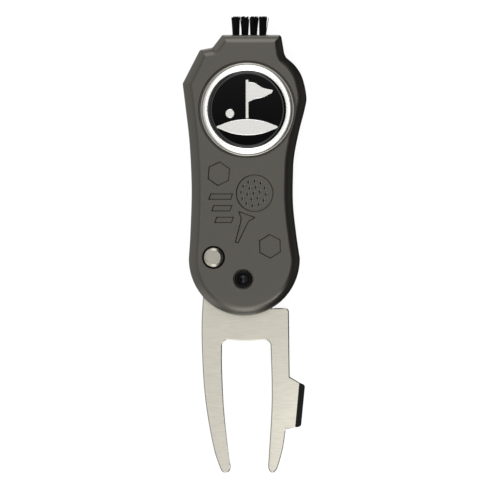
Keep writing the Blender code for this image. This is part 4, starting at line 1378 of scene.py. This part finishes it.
class DIVOT_OT_fasteners(bpy.types.Operator):
    """The screws that close the handle from behind, and their inserts"""

    bl_idname = "divot.fasteners"
    bl_label = "Fasteners"

    def execute(self, context):
        finish = black_oxide()
        for node in SHELL_SCREWS:
            low, high = corners(node)
            centre = middle(node)
            radius = (high.x - low.x) / 2
            place = (centre.x, centre.y)
            under = low.z + SHELL_SCREW_HEAD_HEIGHT
            shank = SHELL_SCREW_SHANK
            profile = [(0, low.z), (radius - 0.4, low.z), (radius - 0.12, low.z + 0.08)]
            profile += [(radius, low.z + 0.32), (radius, under), (shank, under), (shank, high.z)]
            profile += [(0, high.z)]
            screw = finished(turned(profile, place, 64), node + "_blackened", finish)
            socket_floor = low.z + SHELL_SOCKET_DEPTH
            carve(screw, [drill(SHELL_SOCKET_RADIUS, low.z - 1, socket_floor, place, steps=6)])
            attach(screw, "handle")
            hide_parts(node)
        brass = turned_metal("brass_turned", linear("#D2B065"), 0.28)
        for node in ("threaded_insert_1", "threaded_insert_2"):
            dress(node, brass)
        return {"FINISHED"}


OPERATORS = (
    DIVOT_OT_stage,
    DIVOT_OT_handle,
    DIVOT_OT_fork,
    DIVOT_OT_pivot,
    DIVOT_OT_button,
    DIVOT_OT_marker,
    DIVOT_OT_brush,
    DIVOT_OT_fasteners,
)


class DivotToolSettings(bpy.types.PropertyGroup):
    """All sizes and colours that a user may change."""

    handle: bpy.props.PointerProperty(
        type=HandleSettings, name="Handle", description="Finish of the handle"
    )
    metal: bpy.props.PointerProperty(
        type=MetalSettings, name="Metal", description="Finish of the metal pieces"
    )
    brush: bpy.props.PointerProperty(
        type=BrushSettings, name="Brush", description="Bristles of the brush"
    )


class DIVOT_PT_panel(bpy.types.Panel):
    """Lists the steps that build the tool"""

    bl_idname = "DIVOT_PT_panel"
    bl_label = "Divot Repair Tool"
    bl_space_type = "VIEW_3D"
    bl_region_type = "UI"
    bl_category = "Divot Tool"

    def draw(self, context):
        for operator in OPERATORS:
            self.layout.operator(operator.bl_idname)
        for group in ("handle", "metal", "brush"):
            box = self.layout.box()
            owner = getattr(context.scene.divot_tool, group)
            for name in owner.__annotations__:
                box.prop(owner, name)


CLASSES = (HandleSettings, MetalSettings, BrushSettings, DivotToolSettings, *OPERATORS, DIVOT_PT_panel)


def register():
    for cls in CLASSES:
        bpy.utils.register_class(cls)
    bpy.types.Scene.divot_tool = bpy.props.PointerProperty(type=DivotToolSettings)


def unregister():
    del bpy.types.Scene.divot_tool
    for cls in reversed(CLASSES):
        bpy.utils.unregister_class(cls)


def main():
    register()
    bpy.ops.divot.stage()
    bpy.ops.divot.handle()
    bpy.ops.divot.fork()
    bpy.ops.divot.pivot()
    bpy.ops.divot.button()
    bpy.ops.divot.marker()
    bpy.ops.divot.brush()
    bpy.ops.divot.fasteners()


if __name__ == "__main__":
    main()
